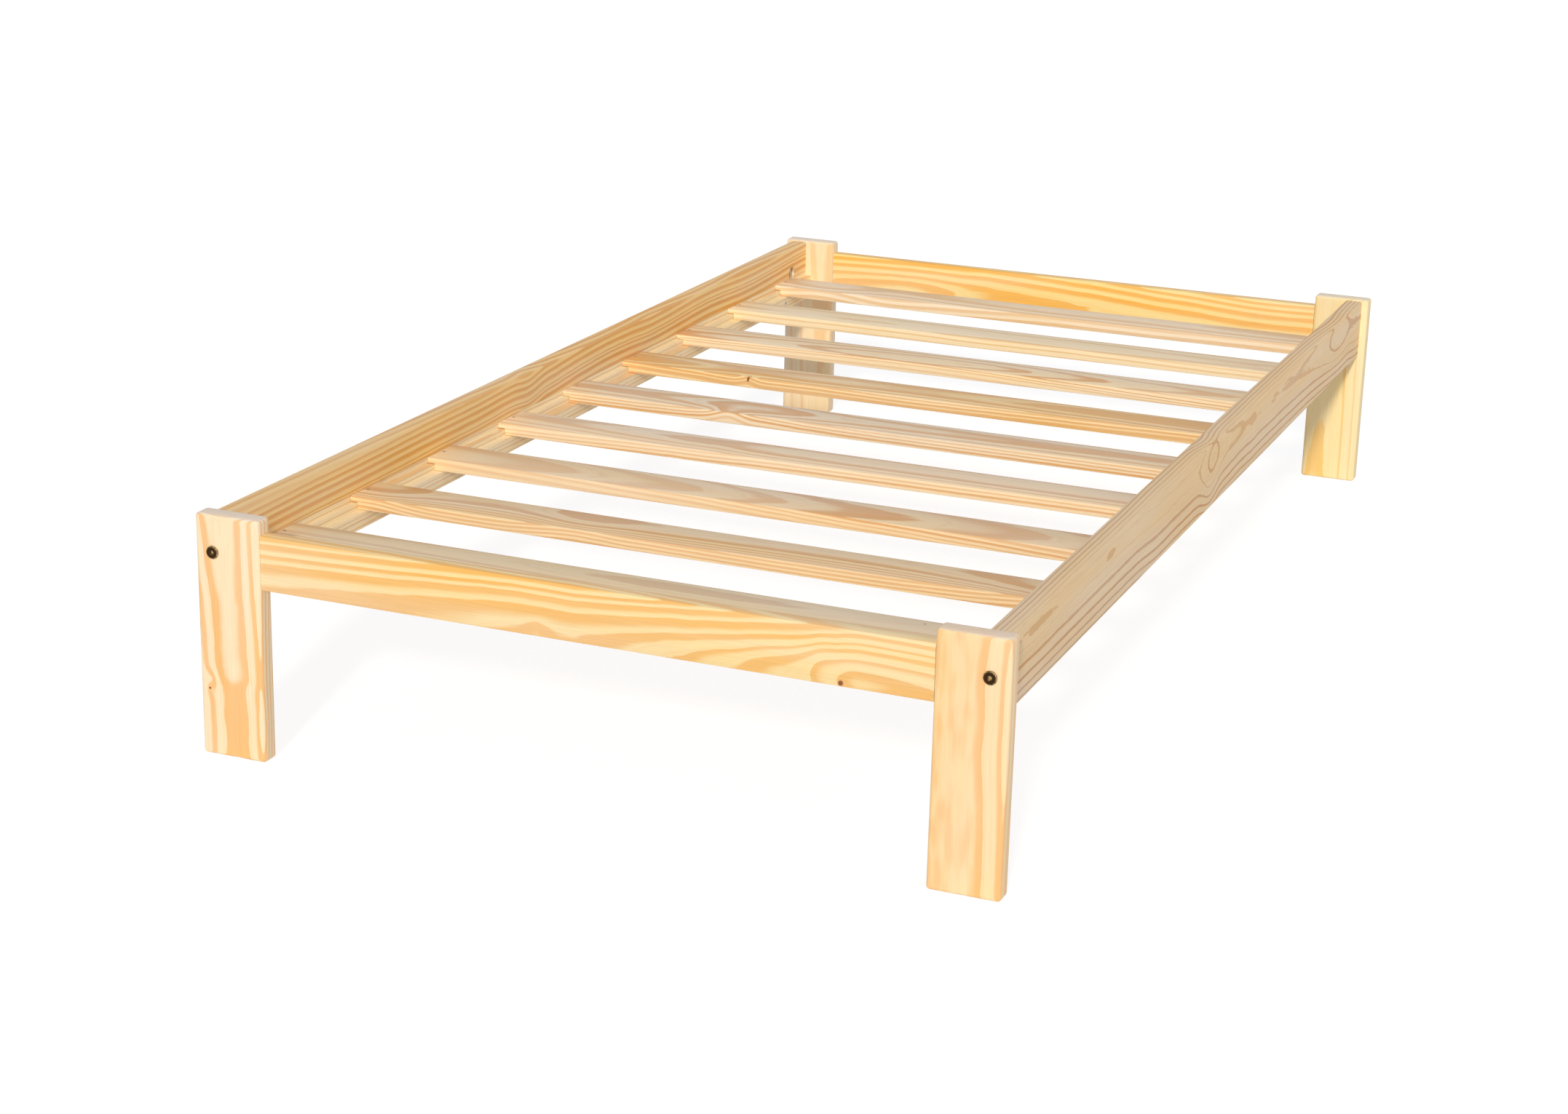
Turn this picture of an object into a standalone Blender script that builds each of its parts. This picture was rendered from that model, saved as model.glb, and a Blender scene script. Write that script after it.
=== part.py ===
"""Platform bed: a single-size pine frame of four board legs, two end rails and two side rails.

Nine cross slats rest on a stepped ledger let into each side rail. The end rails are tenoned into
the legs, and each side rail is drawn up to its legs by a bolt, a half-moon nut and two dowels.

Lengths are metres, +Z is up, X runs across the bed and Y along it. The origin is on the floor
under the middle of the bed, and the foot end is at -Y.
"""
import math

import bmesh
import bpy

MM = 0.001

# Whole bed
BED_LENGTH = 1965 * MM
BED_WIDTH = 1075 * MM
SEAT_GAP = 0.3 * MM
CUT_OVERRUN = 2 * MM

# Legs: flat boards, one face to the bed's end
LEG_HEIGHT = 322 * MM
LEG_WIDTH = 92 * MM
LEG_THICKNESS = 28 * MM
LEG_EDGE_RADIUS = 5 * MM

# End rails, tenoned into the inner edges of the legs
END_RAIL_HEIGHT = 72 * MM
END_RAIL_THICKNESS = 21 * MM
END_RAIL_DROP = 19.5 * MM
END_RAIL_EDGE_RADIUS = 3 * MM
TENON_LENGTH = 35 * MM
TENON_THICKNESS = 12 * MM
TENON_SHOULDER = 12 * MM

# Side rails, set in from the outer edges of the legs
SIDE_RAIL_HEIGHT = 97 * MM
SIDE_RAIL_THICKNESS = 28 * MM
SIDE_RAIL_DROP = 3 * MM
SIDE_RAIL_INSET = 11 * MM
SIDE_RAIL_EDGE_RADIUS = 3 * MM

# Ledgers: a shelf for the slats, a step behind it, and a back edge let into the side rail
LEDGER_WIDTH = 24 * MM
LEDGER_SHELF_WIDTH = 13.2 * MM
LEDGER_SHELF_HEIGHT = 21.5 * MM
LEDGER_RISE = 4.5 * MM
LEDGER_HOUSING_DEPTH = 5 * MM

# Slats: each end is cut to a tongue that laps over the ledger's step
SLAT_COUNT = 9
SLAT_WIDTH = 75 * MM
SLAT_THICKNESS = 18 * MM
SLAT_EDGE_RADIUS = 2 * MM
SLAT_END_GAP = 98.6 * MM
TONGUE_THICKNESS = 7.6 * MM
TONGUE_RELIEF = 1.1 * MM

# Bed bolts with hex sockets, each into a half-moon nut in a round pocket of the side rail
BOLT_HEIGHT_SHARE = 0.526
BOLT_DIAMETER = 8 * MM
BOLT_TIP_CHAMFER = 1 * MM
BOLT_TIP_PAST_NUT = 3 * MM
BOLT_HEAD_DIAMETER = 17 * MM
BOLT_HEAD_THICKNESS = 2.6 * MM
BOLT_HEAD_CHAMFER = 1.2 * MM
BOLT_SOCKET_ACROSS = 5.5 * MM
BOLT_SOCKET_DEPTH = 2 * MM
POCKET_DIAMETER = 24 * MM
POCKET_SETBACK = 67 * MM
POCKET_FLOOR = 4 * MM
NUT_THICKNESS = 11 * MM

# Dowels that locate each side rail on its legs
DOWEL_DIAMETER = 8 * MM
DOWEL_LENGTH = 40 * MM
DOWEL_CHAMFER = 1 * MM
DOWEL_LEG_DEPTH = 14 * MM
DOWEL_HEIGHT_SHARES = (0.24, 0.8)

# Flat-headed nails through the slat tongues
NAIL_HEAD_DIAMETER = 4.6 * MM
NAIL_HEAD_THICKNESS = 0.9 * MM
NAIL_HEAD_PROUD = 0.2 * MM
NAIL_DIAMETER = 2 * MM
NAIL_LENGTH = 22 * MM
NAIL_POINT = 3 * MM

# Countersunk screws through the ledgers into the side rails
SCREW_HEAD_DIAMETER = 8 * MM
SCREW_HEAD_DEPTH = 3 * MM
SCREW_DIAMETER = 4 * MM
SCREW_BITE = 11 * MM
SCREW_END_GAP = 179 * MM
SCREW_POINT = 5 * MM
SCREW_RECESS_LENGTH = 4.6 * MM
SCREW_RECESS_WIDTH = 1.1 * MM
SCREW_RECESS_DEPTH = 1.6 * MM

# Facets of the round shapes
LEG_EDGE_SEGMENTS = 4
RAIL_EDGE_SEGMENTS = 2
SLAT_EDGE_SEGMENTS = 2
BOLT_SIDES = 24
HEX_SIDES = 6
POCKET_SIDES = 24
DOWEL_SIDES = 12
FIXING_SIDES = 10
SMOOTH_BELOW = math.radians(40)
MERGE_DISTANCE = 0.001 * MM

# Places that several pieces share
HALF_LENGTH = BED_LENGTH / 2
HALF_WIDTH = BED_WIDTH / 2
LEG_Y = HALF_LENGTH - LEG_THICKNESS / 2
LEG_INNER_X = HALF_WIDTH - LEG_WIDTH
RAIL_TOP = LEG_HEIGHT - SIDE_RAIL_DROP
RAIL_BOTTOM = RAIL_TOP - SIDE_RAIL_HEIGHT
RAIL_OUTER_X = HALF_WIDTH - SIDE_RAIL_INSET
RAIL_INNER_X = RAIL_OUTER_X - SIDE_RAIL_THICKNESS
RAIL_X = (RAIL_OUTER_X + RAIL_INNER_X) / 2
RAIL_END_Y = HALF_LENGTH - LEG_THICKNESS - SEAT_GAP
LEDGER_BOTTOM = RAIL_BOTTOM + LEDGER_RISE
SHELF_TOP = LEDGER_BOTTOM + LEDGER_SHELF_HEIGHT
SLAT_BOTTOM = SHELF_TOP + SEAT_GAP
SLAT_TOP = SLAT_BOTTOM + SLAT_THICKNESS
TONGUE_BOTTOM = SLAT_TOP - TONGUE_THICKNESS
STEP_TOP = TONGUE_BOTTOM - TONGUE_RELIEF
SHELF_X = RAIL_INNER_X - LEDGER_WIDTH
STEP_X = SHELF_X + LEDGER_SHELF_WIDTH
SLAT_END_X = RAIL_INNER_X - SEAT_GAP
SHOULDER_X = STEP_X - SEAT_GAP
NAIL_X = (SLAT_END_X + SHOULDER_X) / 2
SLAT_SPAN = BED_LENGTH - 2 * SLAT_END_GAP - SLAT_WIDTH
SLAT_PITCH = SLAT_SPAN / (SLAT_COUNT - 1)
BOLT_Z = RAIL_BOTTOM + SIDE_RAIL_HEIGHT * BOLT_HEIGHT_SHARE
POCKET_Y = HALF_LENGTH - LEG_THICKNESS - POCKET_SETBACK
SCREW_Z = (LEDGER_BOTTOM + SHELF_TOP) / 2
SCREW_Y = HALF_LENGTH - SCREW_END_GAP

SIDES = (("left", -1), ("right", 1))
ENDS = (("foot", -1), ("head", 1))


def clear_scene():
    """Removes whatever the scene holds."""
    for old in list(bpy.data.objects):
        bpy.data.objects.remove(old, do_unlink=True)


def new_collection(name):
    """Adds a collection to the scene."""
    made = bpy.data.collections.new(name)
    bpy.context.scene.collection.children.link(made)
    return made


def new_material(name, colour, roughness, metallic):
    """A plain Principled finish."""
    made = bpy.data.materials.new(name)
    made.use_nodes = True
    made.diffuse_color = (*colour, 1)
    shader = made.node_tree.nodes["Principled BSDF"]
    shader.inputs["Base Color"].default_value = (*colour, 1)
    shader.inputs["Roughness"].default_value = roughness
    shader.inputs["Metallic"].default_value = metallic
    return made


def place(name, mesh, group, finish=None, location=(0, 0, 0), rotation=(0, 0, 0)):
    """Puts a mesh in the scene as a named object of a group."""
    made = bpy.data.objects.new(name, mesh)
    made.location = location
    made.rotation_euler = rotation
    if finish:
        mesh.materials.append(finish)
    group.objects.link(made)
    return made


def as_cutter(obj):
    """Keeps an object out of the render, so that it only cuts."""
    obj.hide_render = True
    obj.display_type = "WIRE"
    return obj


def block_mesh(name, size, eased_along=None):
    """A box centred on its origin, whose edges along the named axes are marked for easing."""
    shape = bmesh.new()
    bmesh.ops.create_cube(shape, size=1)
    bmesh.ops.scale(shape, vec=size, verts=shape.verts)
    if eased_along:
        weight = shape.edges.layers.float.new("bevel_weight_edge")
        for edge in shape.edges:
            run = edge.verts[0].co - edge.verts[1].co
            axis = max(range(3), key=lambda i: abs(run[i]))
            edge[weight] = float("XYZ"[axis] in eased_along)
    mesh = bpy.data.meshes.new(name)
    shape.to_mesh(mesh)
    shape.free()
    return mesh


def ease_edges(obj, radius, segments):
    """Rounds the edges that the mesh marks."""
    bevel = obj.modifiers.new("eased_edges", "BEVEL")
    bevel.width = radius
    bevel.segments = segments
    bevel.limit_method = "WEIGHT"


def rod_mesh(name, radius, length, sides):
    """A capped rod along Z, centred on its origin."""
    shape = bmesh.new()
    bmesh.ops.create_cone(
        shape,
        cap_ends=True,
        segments=sides,
        radius1=radius,
        radius2=radius,
        depth=length,
    )
    mesh = bpy.data.meshes.new(name)
    shape.to_mesh(mesh)
    shape.free()
    return mesh


def turned_mesh(name, profile):
    """The open outline of a turned shape: radius and height, from its top down its outer side."""
    mesh = bpy.data.meshes.new(name)
    points = [(radius, 0, height) for radius, height in profile]
    mesh.from_pydata(points, [(i, i + 1) for i in range(len(points) - 1)], [])
    return mesh


def turn(obj, sides):
    """Spins an outline round its own Z axis."""
    spin = obj.modifiers.new("turned", "SCREW")
    spin.steps = sides
    spin.render_steps = sides
    spin.use_merge_vertices = True
    spin.merge_threshold = MERGE_DISTANCE


def make_rod(name, centre, axis, diameter, length, sides, helpers):
    """A round or many-sided cutter along X or Y."""
    quarter = math.radians(90)
    rotation = (0, quarter, 0) if axis == "X" else (quarter, 0, 0)
    mesh = rod_mesh(name, diameter / 2, length, sides)
    return as_cutter(place(name, mesh, helpers, None, centre, rotation))


def cut(obj, *cutters):
    """Cuts each cutter out of the object."""
    for cutter in cutters:
        boolean = obj.modifiers.new(f"cut_{cutter.name}", "BOOLEAN")
        boolean.operation = "DIFFERENCE"
        boolean.solver = "EXACT"
        boolean.object = cutter


def extruded(name, outline, length, group, finish):
    """A flat outline in X and Z, drawn out along Y as a welded mesh."""
    curve = bpy.data.curves.new(name, "CURVE")
    curve.dimensions = "2D"
    curve.fill_mode = "BOTH"
    curve.extrude = length / 2
    line = curve.splines.new("POLY")
    line.points.add(len(outline) - 1)
    for point, (x, z) in zip(line.points, outline):
        point.co = (x, z, 0, 1)
    line.use_cyclic_u = True
    drawn = place(f"{name}_outline", curve, group, rotation=(math.radians(90), 0, 0))
    bpy.context.view_layer.update()
    graph = bpy.context.evaluated_depsgraph_get()
    mesh = bpy.data.meshes.new_from_object(drawn.evaluated_get(graph))
    shape = bmesh.new()
    shape.from_mesh(mesh)
    bmesh.ops.remove_doubles(shape, verts=shape.verts, dist=MERGE_DISTANCE)
    bmesh.ops.recalc_face_normals(shape, faces=shape.faces)
    shape.to_mesh(mesh)
    shape.free()
    made = place(name, mesh, group, finish)
    made.matrix_world = drawn.matrix_world
    bpy.data.objects.remove(drawn, do_unlink=True)
    return made


def settle(obj):
    """Replaces an object's mesh by what its modifiers make of it, shaded smooth over small angles."""
    graph = bpy.context.evaluated_depsgraph_get()
    mesh = bpy.data.meshes.new_from_object(obj.evaluated_get(graph))
    mesh.name = obj.name
    obj.modifiers.clear()
    obj.data = mesh
    mesh.shade_smooth()
    mesh.set_sharp_from_angle(angle=SMOOTH_BELOW)


def make_leg(name, side, end, cutters, parts, finish):
    """A board leg with every edge rounded."""
    size = (LEG_WIDTH, LEG_THICKNESS, LEG_HEIGHT)
    centre = (side * (HALF_WIDTH - LEG_WIDTH / 2), end * LEG_Y, LEG_HEIGHT / 2)
    leg = place(name, block_mesh(name, size, "XYZ"), parts, finish, centre)
    ease_edges(leg, LEG_EDGE_RADIUS, LEG_EDGE_SEGMENTS)
    cut(leg, *cutters)


def end_rail_z():
    """The height of the middle of the end rails."""
    return LEG_HEIGHT - END_RAIL_DROP - END_RAIL_HEIGHT / 2


def tenon_size(grow):
    """The tenon's size, or its mortise's when grown by the seat gap."""
    height = END_RAIL_HEIGHT - 2 * TENON_SHOULDER
    return (2 * (TENON_LENGTH + grow), TENON_THICKNESS + 2 * grow, height + 2 * grow)


def make_mortise(name, side, end, helpers):
    """The cutter of one leg's mortise, which runs in from the leg's inner edge."""
    centre = (side * LEG_INNER_X, end * LEG_Y, end_rail_z())
    return as_cutter(place(name, block_mesh(name, tenon_size(SEAT_GAP)), helpers, None, centre))


def make_end_rail(name, end, parts, helpers, finish):
    """An end rail whose two tenons are one piece with it."""
    length = 2 * (LEG_INNER_X - SEAT_GAP)
    size = (length, END_RAIL_THICKNESS, END_RAIL_HEIGHT)
    centre = (0, end * LEG_Y, end_rail_z())
    rail = place(name, block_mesh(name, size, "X"), parts, finish, centre)
    ease_edges(rail, END_RAIL_EDGE_RADIUS, RAIL_EDGE_SEGMENTS)
    _, thickness, height = tenon_size(0)
    through = (2 * (LEG_INNER_X + TENON_LENGTH), thickness, height)
    tenon_name = f"{name}_tenons"
    tenons = as_cutter(place(tenon_name, block_mesh(tenon_name, through), helpers, None, centre))
    join = rail.modifiers.new("tenons", "BOOLEAN")
    join.operation = "UNION"
    join.solver = "EXACT"
    join.object = tenons


def make_side_rail(name, side, cutters, parts, finish):
    """A side rail between the legs."""
    size = (SIDE_RAIL_THICKNESS, 2 * RAIL_END_Y, SIDE_RAIL_HEIGHT)
    centre = (side * RAIL_X, 0, RAIL_BOTTOM + SIDE_RAIL_HEIGHT / 2)
    rail = place(name, block_mesh(name, size, "Y"), parts, finish, centre)
    ease_edges(rail, SIDE_RAIL_EDGE_RADIUS, RAIL_EDGE_SEGMENTS)
    cut(rail, *cutters)


def make_housing(name, side, helpers):
    """The cutter of the groove that a ledger's back edge is let into."""
    size = (
        LEDGER_HOUSING_DEPTH + CUT_OVERRUN,
        2 * (RAIL_END_Y + CUT_OVERRUN),
        SLAT_TOP - LEDGER_BOTTOM + 2 * SEAT_GAP,
    )
    x = RAIL_INNER_X + (LEDGER_HOUSING_DEPTH - CUT_OVERRUN) / 2
    centre = (side * x, 0, (SLAT_TOP + LEDGER_BOTTOM) / 2)
    return as_cutter(place(name, block_mesh(name, size), helpers, None, centre))


def make_ledger(name, side, cutters, parts, finish):
    """A ledger: its shelf carries the slats, and its back edge fills the rail's groove."""
    back_x = RAIL_INNER_X + LEDGER_HOUSING_DEPTH - SEAT_GAP
    profile = (
        (back_x, LEDGER_BOTTOM),
        (back_x, SLAT_TOP),
        (RAIL_INNER_X, SLAT_TOP),
        (RAIL_INNER_X, STEP_TOP),
        (STEP_X, STEP_TOP),
        (STEP_X, SHELF_TOP),
        (SHELF_X, SHELF_TOP),
        (SHELF_X, LEDGER_BOTTOM),
    )
    outline = [(side * x, z) for x, z in profile]
    ledger = extruded(name, outline, 2 * RAIL_END_Y, parts, finish)
    cut(ledger, *cutters)


def slat_y(number):
    """The middle of a slat, the first being nearest the foot."""
    return (number - 1) * SLAT_PITCH - SLAT_SPAN / 2


def make_notch(name, side, helpers):
    """The cutter that leaves a tongue on that end of every slat."""
    low = SLAT_BOTTOM - CUT_OVERRUN
    width = SLAT_END_X + CUT_OVERRUN - SHOULDER_X
    size = (width, BED_LENGTH, TONGUE_BOTTOM - low)
    centre = (side * (SHOULDER_X + width / 2), 0, (TONGUE_BOTTOM + low) / 2)
    return as_cutter(place(name, block_mesh(name, size), helpers, None, centre))


def make_slat(name, number, cutters, parts, finish):
    """A slat across the bed, from ledger to ledger."""
    size = (2 * SLAT_END_X, SLAT_WIDTH, SLAT_THICKNESS)
    centre = (0, slat_y(number), (SLAT_TOP + SLAT_BOTTOM) / 2)
    slat = place(name, block_mesh(name, size, "X"), parts, finish, centre)
    ease_edges(slat, SLAT_EDGE_RADIUS, SLAT_EDGE_SEGMENTS)
    cut(slat, *cutters)


def nail_profile(grow, over):
    """The nail's outline, or its hole's when grown and carried over the slat's face."""
    head = NAIL_HEAD_DIAMETER / 2 + grow
    shank = NAIL_DIAMETER / 2 + grow
    top = NAIL_HEAD_PROUD + over
    under = NAIL_HEAD_PROUD - NAIL_HEAD_THICKNESS - grow
    tip = under - NAIL_LENGTH
    points = ((0, top), (head, top), (head, under), (shank, under), (shank, tip + NAIL_POINT))
    return (*points, (0, tip))


def make_nail(name, side, number, group, finish=None, grow=0, over=0):
    """A nail standing in a slat's tongue, or the cutter of its hole."""
    where = (side * NAIL_X, slat_y(number), SLAT_TOP)
    nail = place(name, turned_mesh(name, nail_profile(grow, over)), group, finish, where)
    turn(nail, FIXING_SIDES)
    return nail


def facing_out(end):
    """The rotation that turns a shape's own +Z out of the bed's end."""
    return (math.radians(-90) * end, 0, 0)


def bolt_reach():
    """How far the bolt runs in from the leg's outer face."""
    return LEG_THICKNESS + POCKET_SETBACK - POCKET_DIAMETER / 2 + NUT_THICKNESS + BOLT_TIP_PAST_NUT


def make_bolt(name, side, end, parts, helpers, finish):
    """A bed bolt: a chamfered flat head with a hex socket, and its shank."""
    head = BOLT_HEAD_DIAMETER / 2
    shank = BOLT_DIAMETER / 2
    top = SEAT_GAP + BOLT_HEAD_THICKNESS
    tip = -bolt_reach()
    profile = (
        (0, top),
        (head - BOLT_HEAD_CHAMFER, top),
        (head, top - BOLT_HEAD_CHAMFER),
        (head, SEAT_GAP),
        (shank, SEAT_GAP),
        (shank, tip + BOLT_TIP_CHAMFER),
        (shank - BOLT_TIP_CHAMFER, tip),
        (0, tip),
    )
    where = (side * RAIL_X, end * HALF_LENGTH, BOLT_Z)
    bolt = place(name, turned_mesh(name, profile), parts, finish, where, facing_out(end))
    turn(bolt, BOLT_SIDES)
    centre = (side * RAIL_X, end * (HALF_LENGTH + top), BOLT_Z)
    across_corners = BOLT_SOCKET_ACROSS / math.cos(math.radians(30))
    depth = 2 * BOLT_SOCKET_DEPTH
    socket = make_rod(f"{name}_socket", centre, "Y", across_corners, depth, HEX_SIDES, helpers)
    cut(bolt, socket)


def make_bolt_hole(name, side, end, helpers):
    """The cutter of a bolt's hole, from outside the leg into the rail's pocket."""
    outside = HALF_LENGTH + CUT_OVERRUN
    inside = HALF_LENGTH - bolt_reach() - SEAT_GAP
    centre = (side * RAIL_X, end * (outside + inside) / 2, BOLT_Z)
    diameter = BOLT_DIAMETER + 2 * SEAT_GAP
    return make_rod(name, centre, "Y", diameter, outside - inside, BOLT_SIDES, helpers)


def make_pocket(name, side, end, helpers):
    """The cutter of a nut's pocket, bored from the inner face through rail and ledger edge."""
    inside = RAIL_INNER_X - CUT_OVERRUN
    floor = RAIL_OUTER_X - POCKET_FLOOR
    centre = (side * (inside + floor) / 2, end * POCKET_Y, BOLT_Z)
    return make_rod(name, centre, "X", POCKET_DIAMETER, floor - inside, POCKET_SIDES, helpers)


def make_nut(name, side, end, bolt_hole, parts, helpers, finish):
    """A half-moon nut: its round back bears on the pocket's wall towards the leg."""
    radius = POCKET_DIAMETER / 2 - SEAT_GAP
    length = SIDE_RAIL_THICKNESS - 2 * (POCKET_FLOOR + SEAT_GAP)
    centre = (side * RAIL_X, end * POCKET_Y, BOLT_Z)
    mesh = rod_mesh(name, radius, length, POCKET_SIDES)
    nut = place(name, mesh, parts, finish, centre, (0, math.radians(90), 0))
    kept = radius - NUT_THICKNESS
    waste = 2 * radius
    size = (length + 2 * CUT_OVERRUN, waste, waste + 2 * CUT_OVERRUN)
    flat_centre = (side * RAIL_X, end * (POCKET_Y + kept - waste / 2), BOLT_Z)
    flat_name = f"{name}_flat"
    flat = as_cutter(place(flat_name, block_mesh(flat_name, size), helpers, None, flat_centre))
    cut(nut, flat, bolt_hole)


def dowel_profile(grow):
    """The dowel's outline, or its socket's when grown."""
    radius = DOWEL_DIAMETER / 2 + grow
    half = DOWEL_LENGTH / 2 + grow
    edge = radius - DOWEL_CHAMFER
    shoulder = half - DOWEL_CHAMFER
    upper = ((0, half), (edge, half), (radius, shoulder))
    return (*upper, (radius, -shoulder), (edge, -half), (0, -half))


def make_dowel(name, side, end, height_share, group, finish=None, grow=0):
    """A dowel across the joint of leg and side rail, or the cutter of its two sockets."""
    joint = HALF_LENGTH - LEG_THICKNESS
    y = end * (joint + DOWEL_LEG_DEPTH - DOWEL_LENGTH / 2)
    where = (side * RAIL_X, y, RAIL_BOTTOM + SIDE_RAIL_HEIGHT * height_share)
    mesh = turned_mesh(name, dowel_profile(grow))
    dowel = place(name, mesh, group, finish, where, facing_out(end))
    turn(dowel, DOWEL_SIDES)
    return dowel


def screw_profile(grow, over):
    """The screw's outline, or its hole's when grown and carried out of the ledger's face."""
    head = SCREW_HEAD_DIAMETER / 2 + grow
    shank = SCREW_DIAMETER / 2 + grow
    tip = -(LEDGER_WIDTH + LEDGER_HOUSING_DEPTH + SCREW_BITE + grow)
    mouth = ((0, over), (head, over)) if over else ((0, 0),)
    return (*mouth, (head, 0), (shank, -SCREW_HEAD_DEPTH), (shank, tip + SCREW_POINT), (0, tip))


def make_screw(name, side, y, group, finish=None, grow=0, over=0):
    """A countersunk screw lying across a ledger, or the cutter of its hole."""
    where = (side * SHELF_X, y, SCREW_Z)
    rotation = (0, math.radians(-90) * side, 0)
    mesh = turned_mesh(name, screw_profile(grow, over))
    screw = place(name, mesh, group, finish, where, rotation)
    turn(screw, FIXING_SIDES)
    return screw


def cut_cross(screw, side, y, helpers):
    """Cuts a cross recess into a screw's head."""
    depth = 2 * SCREW_RECESS_DEPTH
    long = SCREW_RECESS_LENGTH
    wide = SCREW_RECESS_WIDTH
    for mark, size in (("level", (depth, long, wide)), ("upright", (depth, wide, long))):
        name = f"{screw.name}_{mark}"
        where = (side * SHELF_X, y, SCREW_Z)
        cut(screw, as_cutter(place(name, block_mesh(name, size), helpers, None, where)))


def main():
    """Builds the bed."""
    clear_scene()
    parts = new_collection("platform_bed")
    helpers = new_collection("cutters")
    leg_pine = new_material("clear_pine_legs", (0.87, 0.66, 0.38), 0.5, 0)
    rail_pine = new_material("clear_pine_rails", (0.80, 0.55, 0.28), 0.5, 0)
    slat_pine = new_material("planed_pine_slats", (0.83, 0.64, 0.42), 0.55, 0)
    beech = new_material("beech_dowels", (0.72, 0.53, 0.34), 0.55, 0)
    brass = new_material("antique_brass_bolts", (0.20, 0.15, 0.09), 0.35, 1)
    steel = new_material("zinc_plated_steel", (0.62, 0.62, 0.60), 0.35, 1)

    side_cutters = {}
    ledger_cutters = {}
    nail_holes = {number: [] for number in range(1, SLAT_COUNT + 1)}
    notches = [make_notch(f"notch_{tag}", side, helpers) for tag, side in SIDES]
    for tag, side in SIDES:
        side_cutters[tag] = [make_housing(f"housing_{tag}", side, helpers)]
        ledger_cutters[tag] = []
        for number, y in enumerate((-SCREW_Y, -SLAT_PITCH / 2, SCREW_Y), start=1):
            name = f"ledger_screw_{tag}_{number}"
            hole = make_screw(f"{name}_hole", side, y, helpers, grow=SEAT_GAP, over=CUT_OVERRUN)
            side_cutters[tag].append(as_cutter(hole))
            ledger_cutters[tag].append(hole)
            cut_cross(make_screw(name, side, y, parts, steel), side, y, helpers)
        for number in nail_holes:
            name = f"slat_nail_{tag}_{number}"
            hole = make_nail(f"{name}_hole", side, number, helpers, grow=SEAT_GAP, over=CUT_OVERRUN)
            nail_holes[number].append(as_cutter(hole))
            ledger_cutters[tag].append(hole)
            make_nail(name, side, number, parts, steel)

    for end_tag, end in ENDS:
        for tag, side in SIDES:
            corner = f"{end_tag}_{tag}"
            bolt_hole = make_bolt_hole(f"bolt_hole_{corner}", side, end, helpers)
            pocket = make_pocket(f"pocket_{corner}", side, end, helpers)
            mortise = make_mortise(f"mortise_{corner}", side, end, helpers)
            sockets = []
            for level, share in zip(("lower", "upper"), DOWEL_HEIGHT_SHARES):
                name = f"dowel_{corner}_{level}"
                make_dowel(name, side, end, share, parts, beech)
                socket = make_dowel(f"{name}_socket", side, end, share, helpers, grow=SEAT_GAP)
                sockets.append(as_cutter(socket))
            make_leg(f"leg_{corner}", side, end, [mortise, bolt_hole, *sockets], parts, leg_pine)
            make_bolt(f"bed_bolt_{corner}", side, end, parts, helpers, brass)
            make_nut(f"half_moon_nut_{corner}", side, end, bolt_hole, parts, helpers, steel)
            side_cutters[tag] += [bolt_hole, pocket, *sockets]
            ledger_cutters[tag].append(pocket)
        make_end_rail(f"end_rail_{end_tag}", end, parts, helpers, rail_pine)

    for tag, side in SIDES:
        make_side_rail(f"side_rail_{tag}", side, side_cutters[tag], parts, rail_pine)
        make_ledger(f"ledger_{tag}", side, ledger_cutters[tag], parts, slat_pine)
    for number, holes in nail_holes.items():
        make_slat(f"slat_{number}", number, [*notches, *holes], parts, slat_pine)

    bpy.context.view_layer.update()
    for made in parts.objects:
        settle(made)
    for helper in list(helpers.objects):
        bpy.data.objects.remove(helper, do_unlink=True)
    frame = bpy.data.objects.new("platform_bed_frame", None)
    parts.objects.link(frame)
    for made in parts.objects:
        if made != frame:
            made.parent = frame


main()
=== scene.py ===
"""Looks for a single-size pine platform bed: unfinished pine boards, antique-brass bed bolts,
zinc-plated fixings, beech dowels, and a plain pale studio.

Every board is given solid growth rings, worked out in space from its own pith, so that faces, eased
edges and end grain join up as they do in a sawn board.
"""
import math
import random
from typing import NamedTuple

import bpy
from mathutils import Euler, Matrix, Vector


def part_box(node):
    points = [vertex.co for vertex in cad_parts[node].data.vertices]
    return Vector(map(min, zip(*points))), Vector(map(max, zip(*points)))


bl_info = {
    "name": "Pine Platform Bed",
    "version": (1, 0, 0),
    "blender": (4, 5, 0),
    "location": "3D View > Sidebar > Pine Bed",
    "description": "Finishes a pine platform bed board by board and sets up a plain studio",
    "category": "Object",
}

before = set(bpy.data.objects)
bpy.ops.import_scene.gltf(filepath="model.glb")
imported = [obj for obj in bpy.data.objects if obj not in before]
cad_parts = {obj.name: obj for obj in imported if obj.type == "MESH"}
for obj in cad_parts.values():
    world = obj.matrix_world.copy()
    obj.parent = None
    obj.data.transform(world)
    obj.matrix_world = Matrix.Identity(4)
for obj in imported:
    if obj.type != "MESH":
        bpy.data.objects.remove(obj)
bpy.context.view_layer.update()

MATH = "ShaderNodeMath"
VECTOR = "ShaderNodeVectorMath"
MIX = "ShaderNodeMix"

MM = 0.001
PER_MM = 1 / MM
WHITE = (1, 1, 1)

# The photograph's width and focal length, both in pixels
PHOTO_WIDTH = 2154
PHOTO_FOCAL_LENGTH = 3977.877
SENSOR_WIDTH = 36.0

# How nodes are laid out in their editor
NODE_WIDTH = 190
NODE_HEIGHT = 230
NODES_A_ROW = 24

# A colour ramp holds values from 0 to 1, so a pith's path is kept there as places up to 200 mm to
# either side of the board's middle, and years as shares of 64
PITH_REACH = 200.0
MOST_YEARS = 64.0
FIRST_RING_WIDTH = 10.0

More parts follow.
